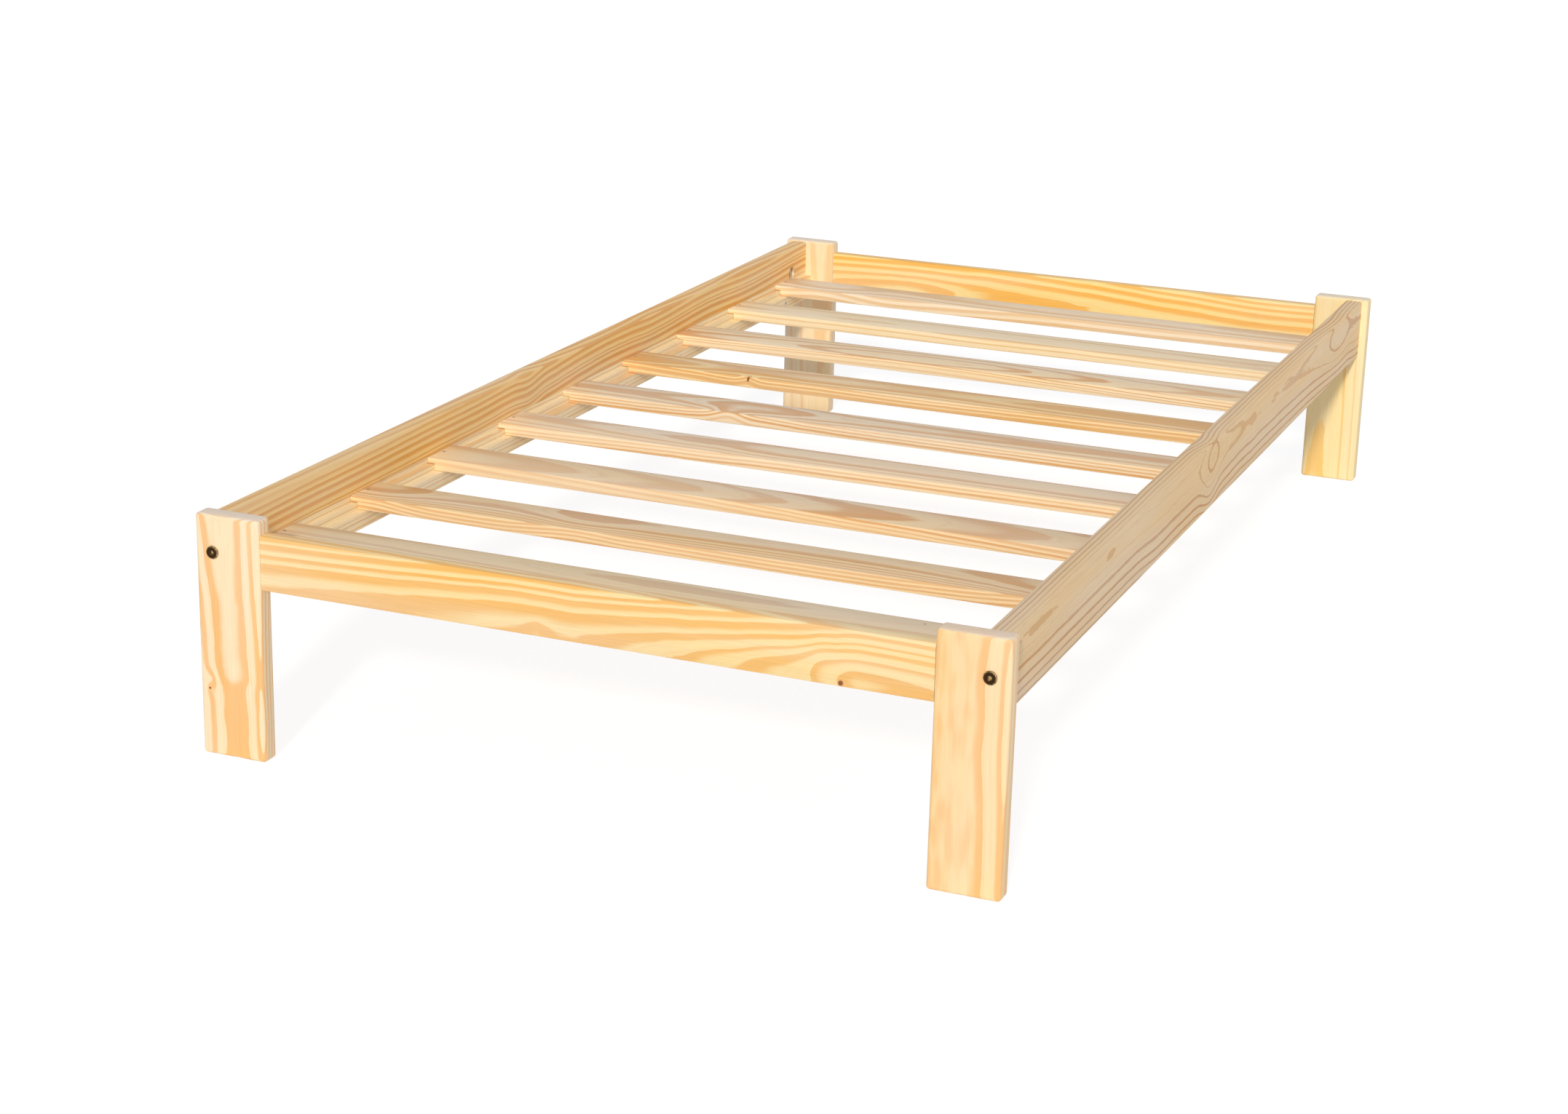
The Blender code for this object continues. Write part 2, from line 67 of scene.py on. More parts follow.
# What a board with no rings of its own gets: this many, from nearer the pith than its middle is,
# in widths and shares that vary about the mean
RING_COUNT = 31
RINGS_INSIDE = 60.0
LEAST_RADIUS = 6.0
WIDTH_SPREAD = (0.72, 1.3)
SHARE_SPREAD = (0.7, 1.25)
STRENGTH_SPREAD = (0.7, 1.0)

# How pine grows, in millimetres or as shares
NOISE_MIDDLE = 0.5
NOISE_REACH = 4.0  # noise strays about a quarter from its middle, so four times it strays by 1
WANDER_ACROSS = 2.2
RIPPLE_DEPTH = 0.3
RIPPLES_PER_MM = (0.14, 0.14, 0.03)
BRANCH_START = 12.0  # distance from its root at which a branch pushes the rings in full
BRANCH_CLIMB = 0.25  # rise of a branch for each millimetre outwards
KNOT_EDGE = (0.6, 1.25)  # shares of a knot's radius between which its own wood ends
LATEWOOD_END = 0.98  # the point of a year from which latewood's share is counted back
LATEWOOD_RISE = 0.3  # half of its slow start, as a share of it
LATEWOOD_STOP = 0.17  # its sharp end, as a share of it
DRY_SPELLS = 7.0  # waves in a year
DRY_SPELL_DEPTH = 0.2

# How pine looks, in millimetres or as shares
SEED_SHARES = (0.618, 0.382, 0.236)
SEED_SPAN = 90
TONE_PATCH = (38, 38, 420)
TONE_SATURATION = (0.88, 1.14)
RESIN_PATCH = (13, 13, 55)
RESIN_DEPTH = (0.62, 0.12)
RESIN_EDGE = 1.5
END_GRAIN_TURN = (0.55, 0.95)  # squareness to the grain at which end grain starts and is full
END_GRAIN_VALUE = 0.95
END_GRAIN_SATURATION = 0.56
LATEWOOD_GLOSS = 0.1  # how much less rough latewood is
FIBRE_HEIGHT = 0.6  # share of the relief that fibre streaks have
WOOD_IOR = 1.53

# Distances from a bed bolt's axis, in millimetres, over which its rim and its socket get a painted
# highlight of brighter brass
RIM_HIGHLIGHT = (6.6, 8.2)
SOCKET_HIGHLIGHT = (1.6, 3.4)
SOCKET_HIGHLIGHT_DEPTH = 0.7
MOTTLES_PER_MM = 0.55

# Zinc blooms in patches of about 2 mm, and beech has flecks 0.6 mm wide and 4 mm long
BLOOM_SIZE = 2 * MM
FLECK_SIZE = (0.6 * MM, 4 * MM, 0.6 * MM)

# Facets join across this gap, and edges that turn by less than this angle are shaded smooth
FACET_GAP = 0.01 * MM
SMOOTH_ANGLE = math.radians(38)

# The floor as it is seen: a glow that reads as white, and a thin coat that takes the shadow
FLOOR_GLOW = 0.84
FLOOR_COAT = (0.3, 0.3, 0.3)


def linear(code):
    """The linear colour of an sRGB hex value."""
    channels = [int(code[i:i + 2], 16) / 255 for i in (0, 2, 4)]
    return tuple(c / 12.92 if c <= 0.04045 else ((c + 0.055) / 1.055) ** 2.4 for c in channels)


class Knot(NamedTuple):
    """Where a branch comes out: millimetres along the board, the way it heads in degrees, its
    radius, how far it pushes the rings out, and the reach of that push along and across."""
    along: float
    heading: float
    radius: float = 0.0
    swell: float = 4.0
    spread: float = 40.0
    breadth: float = 20.0


class Board(NamedTuple):
    """How one board was sawn: the pith's path, as (along, across, deep) in millimetres from the
    board's middle, the tones, the rings, as (radius where one ends, latewood's share, strength),
    or their mean width and share, how much they wander, the knots and the heartwood's radius."""
    path: tuple
    early: str
    late: str
    rings: tuple = ()
    width: float = 6.0
    share: float = 0.42
    waver: float = 0.5
    knots: tuple = ()
    heartwood: float = 0.0


# The way each kind of board's own length, width and thickness lie in the bed
GRAIN_TURN = {
    "X": (0.0, math.radians(-90), 0.0),
    "Y": (math.radians(90), 0.0, 0.0),
    "Z": (0.0, 0.0, 0.0),
}
GRAIN_DIRECTION = {"X": (1, 0, 0), "Y": (0, 1, 0), "Z": (0, 0, 1)}

LEGS = {
    "leg_foot_left": Board(
        ((-161, 6.4, 76.7), (-90, 5.2, 76.8), (-66, 4, 76.7), (-52, 2.4, 75.4), (-19, 0.5, 75.25),
         (11, -0.5, 75.25), (61, -4, 75.0), (151, -9.5, 73.6)),
        "FDEECE", "F8C98B",
        rings=((60, .42, .8), (66.5, .4, .9), (73.5, .4, .8), (80, .4, .9), (86.5, .4, .9),
               (92.6, .42, 1), (98.6, .48, .9), (106, .2, .8), (112, .4, .8)),
        waver=0.25,
        knots=(Knot(-62, -110, 0, -3.2, 13, 9), Knot(-76, -112, 1.6, 2.0, 10, 5),
               Knot(-120, -66, 0, -2.6, 260, 8)),
    ),
    "leg_foot_right": Board(
        ((-161, -14, 81.0), (-80, -16, 80.4), (-30, -17.5, 80.8), (15, -19, 81.5), (60, -20, 80.6),
         (110, -18, 81.5), (161, -16, 80.8)),
        "FCE7B8", "FBC684",
        rings=((58, .4, .8), (67, .45, .9), (76, .4, .8), (85, .4, .9), (93.6, .4, .5), (101.6, .42, 1),
               (111.6, .24, .9), (119, .5, .8), (127, .4, .8)),
        waver=0.5, heartwood=101.6,
    ),
    "leg_head_left": Board(
        ((-161, 30, 70), (161, 22, 66)), "FCEBC9", "F9D9AC", width=8.0, share=0.24, waver=1.2,
    ),
    "leg_head_right": Board(
        ((-161, -22, 58), (161, -16, 64)), "FCEDBE", "F7D592", width=8.5, share=0.2, waver=2.5,
    ),
}
END_RAILS = {
    "end_rail_foot": Board(
        ((-480, 40, 64.5), (-250, 39, 60), (-150, 39, 55.5), (-100, 39, 52.8), (-50, 39, 52.4),
         (0, 39, 52), (100, 38, 45), (150, 37, 41), (215, 35, 34.5), (293, 30, 27.5), (327, 29, 18.5),
         (352, 28, 12.5), (440, 28, 15.5), (480, 28, 18)),
        "FDE9B6", "F5C680",
        rings=((12, .4, .8), (19.5, .4, .8), (27.5, .68, .95), (36.8, .17, .85), (47.8, .65, .8),
               (54, .2, .9), (64.8, .7, .9), (76, .62, .9), (85.3, .6, .95), (91.2, .52, 1),
               (100.3, .72, .95), (106, .5, .8), (113, .5, .9), (120, .4, .8)),
        waver=0.4,
        knots=(Knot(333, -86, 3.6, 1.0, 18, 10), Knot(308, -125, 0, 4, 30, 20),
               Knot(-61, -100, 0, 3.6, 15, 16)),
    ),
    "end_rail_head": Board(
        ((-480, 21, 29), (-440, 21, 27.7), (-300, 21, 23.5), (-200, 16, 29.5), (-135, 11, 33.5),
         (0, 16, 35), (65, 17.7, 36.4), (150, 23.7, 37), (250, 28, 37.5), (350, 34, 37.5),
         (480, 32, 37.5)),
        "FDE8A7", "F9C16A",
        rings=((8, .4, .8), (16, .5, .8), (24, .5, .8), (32, .5, .9), (40, .6, .9), (46.7, .4, .84),
               (56.4, .6, .95), (66, .5, .9), (74, .5, .9), (82, .5, .9)),
        waver=0.5,
    ),
}
SIDE_RAILS = {
    "side_rail_left": Board(
        ((-954, -78, 93), (-800, -78, 92), (-500, -78, 88), (-350, -78, 86), (-300, -78, 85),
         (-200, -78, 81.5), (-150, -78, 84), (-100, -78, 76.5), (-50, -78, 73), (0, -78, 69.5),
         (100, -78, 65.5), (200, -78, 65.5), (300, -78, 68), (500, -78, 62), (700, -78, 66),
         (954, -78, 58)),
        "FCDDA2", "E6AA63",
        rings=((92, .5, .8), (99, .5, .9), (106, .5, .8), (114, .5, .9), (121.8, .55, 1),
               (126.9, .45, .7), (130.4, .5, .8), (139.2, .55, .8), (147.2, .5, .8), (154.7, .5, .75),
               (162, .42, .55), (170, .4, .5), (178, .5, .8), (186, .5, .9)),
        waver=0.9,
    ),
    "side_rail_right": Board(
        ((-954, -91.4, -28), (-915, -90.98, -28.5), (-850, -90.7, -29), (-785, -91, -28.5),
         (-740, -91.3, -28), (-450, -91.4, -28), (-400, -91.4, -26.5), (-340, -91.4, -22.5),
         (-230, -91.4, -22.5), (-110, -91.2, -23), (0, -90.1, -26), (50, -89.9, -27),
         (100, -90.2, -28.5), (140, -90.75, -28), (190, -90.76, -27), (225, -91.1, -27),
         (280, -91.05, -27), (320, -90.85, -27), (350, -90.95, -27), (410, -90.65, -27),
         (470, -90.6, -26), (520, -90.1, -26.5), (600, -89.1, -26.5), (700, -86.4, -27),
         (790, -84.5, -27), (870, -85.3, -26), (910, -84.72, -23), (954, -84.7, -22)),
        "F2D9B0", "C68C44",
        rings=((80, .25, .8), (86.5, .25, .8), (93, .25, .8), (99, .16, .7), (105, .1, .44),
               (111, .24, .85), (117.2, .26, .95), (123.2, .24, .85), (128.5, .24, .8), (134, .25, .8),
               (140, .25, .8)),
        waver=0.12,
        knots=(Knot(-558, -1, 0, 0.9, 20, 9), Knot(-48, -6, 0, 8.5, 46, 42),
               Knot(-60, 28, 0, 6, 42, 36), Knot(778, -3, 0, 5.0, 68, 38)),
    ),
}
LEDGERS = {
    "ledger_left": Board(
        ((-954, -4, 70), (954, 4, 78)), "FDEDC8", "EDC792", width=6.4, share=0.34, waver=1.4,
        knots=(Knot(-443, -92, 2.6, 3, 24, 9), Knot(-240, -92, 1.8, 3, 20, 8)),
    ),
    "ledger_right": Board(
        ((-954, 6, 76), (954, -4, 70)), "FDEDC8", "EDC792", width=6.0, share=0.34, waver=1.4,
    ),
}
SLATS = {
    "slat_1": Board(
        ((-498, 74, 15), (-300, 73, 15), (-150, 71.5, 15), (-105, 70.5, 15), (0, 69, 15),
         (150, 68.8, 14), (250, 69.8, 13), (375, 71.5, 12), (498, 72, 10)),
        "F6E3BE", "DDB988",
        rings=((68, .5, .6), (79.1, .4, .75), (85.6, .25, .6), (88, .5, .8), (90, .5, .8),
               (92.3, .5, .8), (96, .4, .8), (101, .4, .8), (106, .4, .8)),
        waver=0.3, knots=(Knot(375, 172, 1.4, 1, 12, 6),),
    ),
    "slat_2": Board(
        ((-498, 76, 27), (-450, 77.5, 27), (-400, 83, 27), (-330, 85.5, 27), (-250, 84.5, 27),
         (-175, 79, 27), (-100, 81.5, 27), (0, 83, 27), (150, 84.5, 27), (300, 83.5, 27), (400, 80, 27),
         (450, 76, 27), (498, 73, 27)),
        "F8E1B9", "DDAB70",
        rings=((82, .5, .8), (91.4, .5, .85), (98.6, .34, .8), (103.2, .6, .6), (107.6, .6, .65),
               (112, .6, .6), (117, .5, .6)),
        waver=0.3,
    ),
    "slat_3": Board(
        ((-498, 149, -7), (-255, 156.5, -8), (-75, 162.5, -8), (55, 168, -8), (120, 171, -8),
         (255, 174.6, -6), (350, 178, -6), (498, 184, -6)),
        "F8E3BF", "DDA973",
        rings=((157, .5, .35), (165, .5, .42), (171, .35, .45), (176.5, .35, .55), (183, .7, .9),
               (190, .35, .55), (196, .5, .8), (202, .5, .8)),
        waver=0.6,
    ),
    "slat_4": Board(
        ((-498, 90.5, 12), (-350, 88, 12), (-230, 85.3, 12), (-190, 84.9, 12), (-150, 84.4, 12),
         (-100, 82.5, 12), (0, 81.6, 12), (200, 81.3, 12), (498, 81, 12)),
        "FDEBCD", "E4B888",
        rings=((88, .45, .4), (95, .36, .95), (99.8, .45, .5), (105, .45, .5), (111, .4, .6),
               (117, .3, .6)),
        waver=0.3,
    ),
    "slat_5": Board(
        ((-498, 89.5, 4.5), (-350, 88.4, 4.5), (-285, 86.5, 4.5), (-250, 84.3, 4.5), (-220, 82.6, 4.5),
         (-160, 82.8, 4.5), (-110, 85, 4.5), (-55, 86.6, 4.5), (0, 87.5, 4.5), (200, 88.5, 4.5),
         (498, 89.5, 4.5)),
        "F7E8CD", "DDA86C",
        rings=((88, .4, .45), (95, .5, .95), (99.2, .42, .66), (104, .55, .5), (109, .5, .6),
               (114, .5, .6)),
        waver=0.3, knots=(Knot(-225, -152.6, 0, 8, 26, 22),),
    ),
    "slat_6": Board(
        ((-498, 80, -2), (-360, 84, 0), (-300, 86, 2), (-150, 84, 4), (0, 85, 6), (200, 83, 8),
         (498, 80, 8)),
        "FDE6B7", "E3B172",
        rings=((84, .6, .7), (93, .8, .8), (97.5, .5, .9), (102, .6, .7), (106.5, .6, .7),
               (112, .6, .7)),
        waver=0.8, knots=(Knot(-282, -156.6, 2.2, 5, 16, 10),),
    ),
    "slat_7": Board(
        ((-498, 92, -20), (-250, 88, -16), (-50, 86, -12), (110, 89, -8), (255, 94, -10),
         (350, 97, -10), (498, 100, -10)),
        "FBEAC8", "E0B07D",
        rings=((88, .35, .4), (94.5, .35, .55), (97.8, .4, .95), (102.5, .35, .95), (108, .3, .6),
               (114, .3, .6), (120, .3, .6)),
        waver=0.5,
    ),
    "slat_8": Board(
        ((-498, 76, -8), (498, 82, -11)), "FDEECE", "EDCFA0", width=6.8, share=0.35, waver=2.6,
    ),
    "slat_9": Board(
        ((-498, 84, 20), (-400, 80, 18), (-300, 86, 24), (-200, 84, 24), (0, 80, 20), (200, 79, 22),
         (498, 77, 22)),
        "FDEED4", "ECCCA2", width=7.2, share=0.5, waver=1.0,
    ),
}


class PineFinish(bpy.types.PropertyGroup):
    """Unfinished pine as planed and sanded at the mill."""
    knot_colour: bpy.props.FloatVectorProperty(
        name="Knot", description="Wood of the branch inside a knot",
        subtype="COLOR", size=3, min=0, max=1, default=linear("8C5233"),
    )
    fibre_width: bpy.props.FloatProperty(
        name="Fibre Width", description="Width of the bundles of fibres that streak the wood",
        subtype="DISTANCE", unit="LENGTH", min=0.0002, default=1.1 * MM,
    )
    fibre_length: bpy.props.FloatProperty(
        name="Fibre Length", description="Length of those bundles along the grain",
        subtype="DISTANCE", unit="LENGTH", min=0.005, default=85 * MM,
    )
    fibre_depth: bpy.props.FloatProperty(
        name="Fibre Depth", description="How much the fibres change the wood's lightness",
        subtype="FACTOR", min=0, max=1, default=0.07,
    )
    waver_length: bpy.props.FloatProperty(
        name="Waver Length", description="Distance along the trunk over which the rings wander",
        subtype="DISTANCE", unit="LENGTH", min=0.02, default=340 * MM,
    )
    roughness: bpy.props.FloatProperty(
        name="Roughness", description="Roughness of bare sanded earlywood",
        subtype="FACTOR", min=0, max=1, default=0.58,
    )
    relief: bpy.props.FloatProperty(
        name="Relief", description="Height of the harder latewood over the earlywood",
        subtype="DISTANCE", unit="LENGTH", min=0, default=0.05 * MM,
    )


class FixingFinish(bpy.types.PropertyGroup):
    """Bolts, nuts, nails, screws and dowels."""
    brass: bpy.props.FloatVectorProperty(
        name="Antique Brass", description="Dark plating of the bed bolts",
        subtype="COLOR", size=3, min=0, max=1, default=linear("3E2D1D"),
    )
    # Brighter brass for a painted highlight on the bolts' rims and in their sockets
    worn_brass: bpy.props.FloatVectorProperty(
        name="Worn Brass", description="Brighter metal where a key or a hand has rubbed the bolts",
        subtype="COLOR", size=3, min=0, max=1, default=linear("D2B47C"),
    )
    zinc: bpy.props.FloatVectorProperty(
        name="Zinc", description="Bright zinc plating of the nails, screws and nuts",
        subtype="COLOR", size=3, min=0, max=1, default=linear("C9C7C0"),
    )
    zinc_bloom: bpy.props.FloatVectorProperty(
        name="Zinc Bloom", description="Cloudy patches in the zinc",
        subtype="COLOR", size=3, min=0, max=1, default=linear("A6A6A2"),
    )
    beech: bpy.props.FloatVectorProperty(
        name="Beech", description="Turned dowels",
        subtype="COLOR", size=3, min=0, max=1, default=linear("D8B58C"),
    )
    beech_fleck: bpy.props.FloatVectorProperty(
        name="Beech Fleck", description="Darker flecks in the beech",
        subtype="COLOR", size=3, min=0, max=1, default=linear("B98E63"),
    )


class StudioSetup(bpy.types.PropertyGroup):
    """Camera, lamps, floor and background."""
    camera_place: bpy.props.FloatVectorProperty(
        name="Camera", description="Where the camera stands",
        subtype="TRANSLATION", unit="LENGTH", size=3, default=(1.443626, -3.906969, 1.391705),
    )
    yaw: bpy.props.FloatProperty(
        name="Yaw", description="Turn of the camera to the left of the bed's length",
        subtype="ANGLE", unit="ROTATION", default=math.radians(22.06),
    )
    pitch: bpy.props.FloatProperty(
        name="Pitch", description="Tilt of the camera below the horizon",
        subtype="ANGLE", unit="ROTATION", default=math.radians(17.797),
    )
    roll: bpy.props.FloatProperty(
        name="Roll", description="Roll of the camera about its own view",
        subtype="ANGLE", unit="ROTATION", default=math.radians(1.464),
    )
    focal_share: bpy.props.FloatProperty(
        name="Focal Length in Widths", description="Focal length as a share of the picture's width",
        default=PHOTO_FOCAL_LENGTH / PHOTO_WIDTH,
    )
    key_strength: bpy.props.FloatProperty(
        name="Key", description="Strength of the key lamp in front of the foot end", min=0, default=2.0,
    )
    key_height: bpy.props.FloatProperty(
        name="Key Height", description="Height of the key lamp above the horizon",
        subtype="ANGLE", unit="ROTATION", default=math.radians(28),
    )
    key_side: bpy.props.FloatProperty(
        name="Key Side", description="Turn of the key lamp to the right of the foot end",
        subtype="ANGLE", unit="ROTATION", default=math.radians(12),
    )
    key_softness: bpy.props.FloatProperty(
        name="Key Softness", description="Width of the key lamp as the bed sees it",
        subtype="ANGLE", unit="ROTATION", default=math.radians(6),
    )
    key_colour: bpy.props.FloatVectorProperty(
        name="Key Colour", description="Slightly warm key light",
        subtype="COLOR", size=3, min=0, max=1, default=linear("FFF1DA"),
    )
    side_strength: bpy.props.FloatProperty(
        name="Side", description="Strength of the broad lamp to the right of the bed", min=0, default=0.5,
    )
    side_height: bpy.props.FloatProperty(
        name="Side Height", description="Height of the side lamp above the horizon",
        subtype="ANGLE", unit="ROTATION", default=math.radians(16),
    )
    side_turn: bpy.props.FloatProperty(
        name="Side Turn", description="Turn of the side lamp to the right of the foot end",
        subtype="ANGLE", unit="ROTATION", default=math.radians(84),
    )
    side_softness: bpy.props.FloatProperty(
        name="Side Softness", description="Width of the side lamp as the bed sees it",
        subtype="ANGLE", unit="ROTATION", default=math.radians(70),
    )
    fill_strength: bpy.props.FloatProperty(
        name="Fill", description="Strength of the even light from all round", min=0, default=0.36,
    )
    fill_colour: bpy.props.FloatVectorProperty(
        name="Fill Colour", description="Slightly cool light from all round",
        subtype="COLOR", size=3, min=0, max=1, default=linear("F5F2FD"),
    )
    floor_colour: bpy.props.FloatVectorProperty(
        name="Floor", description="Pale matt floor",
        subtype="COLOR", size=3, min=0, max=1, default=linear("F2F0EC"),
    )
    floor_size: bpy.props.FloatProperty(
        name="Floor Size", description="Length of each side of the floor",
        subtype="DISTANCE", unit="LENGTH", min=4, default=60.0,
    )


def add(tree, kind, inputs=None, **settings):
    """Adds a node with its settings; an input takes a value, a socket or a node's first output."""
    node = tree.nodes.new(kind)
    row, column = divmod(len(tree.nodes), NODES_A_ROW)
    node.location = (NODE_WIDTH * column, -NODE_HEIGHT * row)
    for name, value in settings.items():
        setattr(node, name, value)
    for key, value in (inputs or {}).items():
        shown = [s for s in node.inputs if s.enabled]
        socket = shown[key] if isinstance(key, int) else next(s for s in shown if s.name == key)
        if isinstance(value, bpy.types.Node):
            value = next(s for s in value.outputs if s.enabled)
        if isinstance(value, bpy.types.NodeSocket):
            tree.links.new(value, socket)
        else:
            socket.default_value = value
    return node


def new_material(name):
    """A material with nothing in its tree of nodes, and that tree."""
    made = bpy.data.materials.new(name)
    made.use_nodes = True
    made.node_tree.nodes.clear()
    return made, made.node_tree


def new_group(name, inputs, outputs):
    """An empty shader group with its own sockets; returns it with its ends."""
    tree = bpy.data.node_groups.new(name, "ShaderNodeTree")
    for socket, kind in inputs:
        tree.interface.new_socket(socket, in_out="INPUT", socket_type=f"NodeSocket{kind}")
    for socket, kind in outputs:
        tree.interface.new_socket(socket, in_out="OUTPUT", socket_type=f"NodeSocket{kind}")
    return tree, tree.nodes.new("NodeGroupInput").outputs, tree.nodes.new("NodeGroupOutput").inputs


def wandering_pith():
    """Place in a board, in millimetres, measured from its pith, with a slow wander of the rings."""
    tree, given, made = new_group(
        "wandering_pith",
        [("Place", "Vector"), ("Pith", "Vector"), ("Waver", "Float"), ("Waver Length", "Float"),
         ("Seed", "Vector")],
        [("Place", "Vector")],
    )
    place = given["Place"]
    straight = add(tree, VECTOR, {0: place, 1: given["Pith"]}, operation="SUBTRACT")
    # The rings wander slowly along the trunk and about twice as fast across it
    per_length = add(tree, MATH, {0: 1.0, 1: given["Waver Length"]}, operation="DIVIDE")
    across = add(tree, MATH, {0: per_length, 1: WANDER_ACROSS}, operation="MULTIPLY")
    scale = add(tree, "ShaderNodeCombineXYZ", {0: across, 1: across, 2: per_length})
    shrunk = add(tree, VECTOR, {0: place, 1: scale, 2: given["Seed"]}, operation="MULTIPLY_ADD")
    noise = add(
        tree, "ShaderNodeTexNoise", {"Vector": shrunk, "Scale": 1.0, "Detail": 2.0, "Roughness": 0.38},
    )
    drift = add(tree, VECTOR, {0: noise.outputs["Color"], 1: (NOISE_MIDDLE,) * 3}, operation="SUBTRACT")
    reach = add(tree, MATH, {0: given["Waver"], 1: NOISE_REACH}, operation="MULTIPLY")
    flat = add(tree, "ShaderNodeCombineXYZ", {0: reach, 1: reach, 2: 0.0})
    wander = add(tree, VECTOR, {0: drift, 1: flat, 2: straight}, operation="MULTIPLY_ADD")
    tree.links.new(wander.outputs[0], made["Place"])
    return tree


def branch_knot():
    """How far a branch pushes the rings outwards around it, and where its own wood shows."""
    tree, given, made = new_group(
        "branch_knot",
        [("Place", "Vector"), ("Root", "Vector"), ("Heading", "Vector"), ("Radius", "Float"),
         ("Swell", "Float"), ("Spread", "Float"), ("Breadth", "Float")],
        [("Swell", "Float"), ("Heart", "Float")],
    )
    from_root = add(tree, VECTOR, {0: given["Place"], 1: given["Root"]}, operation="SUBTRACT")
    out = add(
        tree, VECTOR, {0: from_root, 1: given["Heading"]}, operation="DOT_PRODUCT",
    ).outputs["Value"]
    axis = add(tree, VECTOR, {0: given["Heading"], "Scale": out}, operation="SCALE")
    off_axis = add(tree, VECTOR, {0: from_root, 1: axis}, operation="SUBTRACT")
    # The grain gives way further along the trunk than across it
    size = add(
        tree, "ShaderNodeCombineXYZ", {0: given["Breadth"], 1: given["Breadth"], 2: given["Spread"]},
    )
    share = add(tree, VECTOR, {0: off_axis, 1: size}, operation="DIVIDE")
    square = add(tree, VECTOR, {0: share, 1: share}, operation="DOT_PRODUCT").outputs["Value"]
    falling = add(tree, MATH, {0: square, 1: -1.0}, operation="MULTIPLY")
    bell = add(tree, MATH, {0: falling}, operation="EXPONENT")
    ahead = add(
        tree, "ShaderNodeMapRange", {"Value": out, "From Min": 0.0, "From Max": BRANCH_START},
        interpolation_type="SMOOTHSTEP",
    )
    shown = add(tree, MATH, {0: bell, 1: ahead}, operation="MULTIPLY")
    swell = add(tree, MATH, {0: shown, 1: given["Swell"]}, operation="MULTIPLY")
    reach = add(tree, VECTOR, {0: off_axis}, operation="LENGTH").outputs["Value"]
    inner = add(tree, MATH, {0: given["Radius"], 1: KNOT_EDGE[0]}, operation="MULTIPLY")
    outer = add(tree, MATH, {0: given["Radius"], 1: KNOT_EDGE[1]}, operation="MULTIPLY")
    core = add(
        tree, "ShaderNodeMapRange",
        {"Value": reach, "From Min": inner, "From Max": outer, "To Min": 1.0, "To Max": 0.0},
        interpolation_type="SMOOTHSTEP",
    )
    heart = add(tree, MATH, {0: core, 1: ahead}, operation="MULTIPLY")
    tree.links.new(swell.outputs[0], made["Swell"])
    tree.links.new(heart.outputs[0], made["Heart"])
    return tree


def ring_radius():
    """Distance from the pith, in millimetres, as the rings count it."""
    tree, given, made = new_group(
        "ring_radius", [("Place", "Vector"), ("Swell", "Float")], [("Radius", "Float")],
    )
    flat = add(tree, VECTOR, {0: given["Place"], 1: (1, 1, 0)}, operation="MULTIPLY")
    radius = add(tree, VECTOR, {0: flat}, operation="LENGTH").outputs["Value"]
    pushed = add(tree, MATH, {0: radius, 1: given["Swell"]}, operation="SUBTRACT")
    # The edge of a ring is a little uneven: 0.3 mm, over about 30 mm of its length
    small = add(tree, VECTOR, {0: given["Place"], 1: RIPPLES_PER_MM}, operation="MULTIPLY")
    ripple = add(
        tree, "ShaderNodeTexNoise", {"Vector": small, "Scale": 1.0, "Detail": 2.0},
    ).outputs["Fac"]
    level = add(tree, MATH, {0: ripple, 1: NOISE_MIDDLE}, operation="SUBTRACT")
    uneven = add(
        tree, MATH, {0: level, 1: RIPPLE_DEPTH * NOISE_REACH, 2: pushed}, operation="MULTIPLY_ADD",
    )
    tree.links.new(uneven.outputs[0], made["Radius"])
    return tree


def season_bands():
    """Share of latewood through the years: each one starts pale, darkens to a band of latewood
    and stops sharply."""
    tree, given, made = new_group(
        "season_bands", [("Year", "Float"), ("Share", "Float"), ("Strength", "Float")],
        [("Late", "Float")],
    )
    year, share = given["Year"], given["Share"]
    season = add(tree, MATH, {0: year}, operation="FRACT")
    start = add(tree, MATH, {0: LATEWOOD_END, 1: share}, operation="SUBTRACT")
    before = add(tree, MATH, {0: share, 1: -LATEWOOD_RISE, 2: start}, operation="MULTIPLY_ADD")
    after = add(tree, MATH, {0: share, 1: LATEWOOD_RISE, 2: start}, operation="MULTIPLY_ADD")
    rise = add(
        tree, "ShaderNodeMapRange", {"Value": season, "From Min": before, "From Max": after},
        interpolation_type="SMOOTHSTEP",
    )
    sharp = add(tree, MATH, {0: share, 1: -LATEWOOD_STOP, 2: 1.0}, operation="MULTIPLY_ADD")
    stop = add(
        tree, "ShaderNodeMapRange",
        {"Value": season, "From Min": sharp, "From Max": 1.0, "To Min": 1.0, "To Max": 0.0},
        interpolation_type="SMOOTHSTEP",
    )
    band = add(tree, MATH, {0: rise, 1: stop}, operation="MULTIPLY")
    late = add(tree, MATH, {0: band, 1: given["Strength"]}, operation="MULTIPLY")
    # Dry spells leave faint lines inside the pale wood
    dry = add(
        tree, "ShaderNodeTexNoise", {"W": year, "Scale": DRY_SPELLS, "Detail": 1.0},
        noise_dimensions="1D",
    ).outputs["Fac"]
    faint = add(
        tree, "ShaderNodeMapRange",
        {"Value": dry, "From Min": NOISE_MIDDLE, "From Max": 0.8,
         "To Min": 0.0, "To Max": DRY_SPELL_DEPTH},
    )
    both = add(tree, MATH, {0: late, 1: faint}, operation="MAXIMUM")
    tree.links.new(both.outputs[0], made["Late"])
    return tree


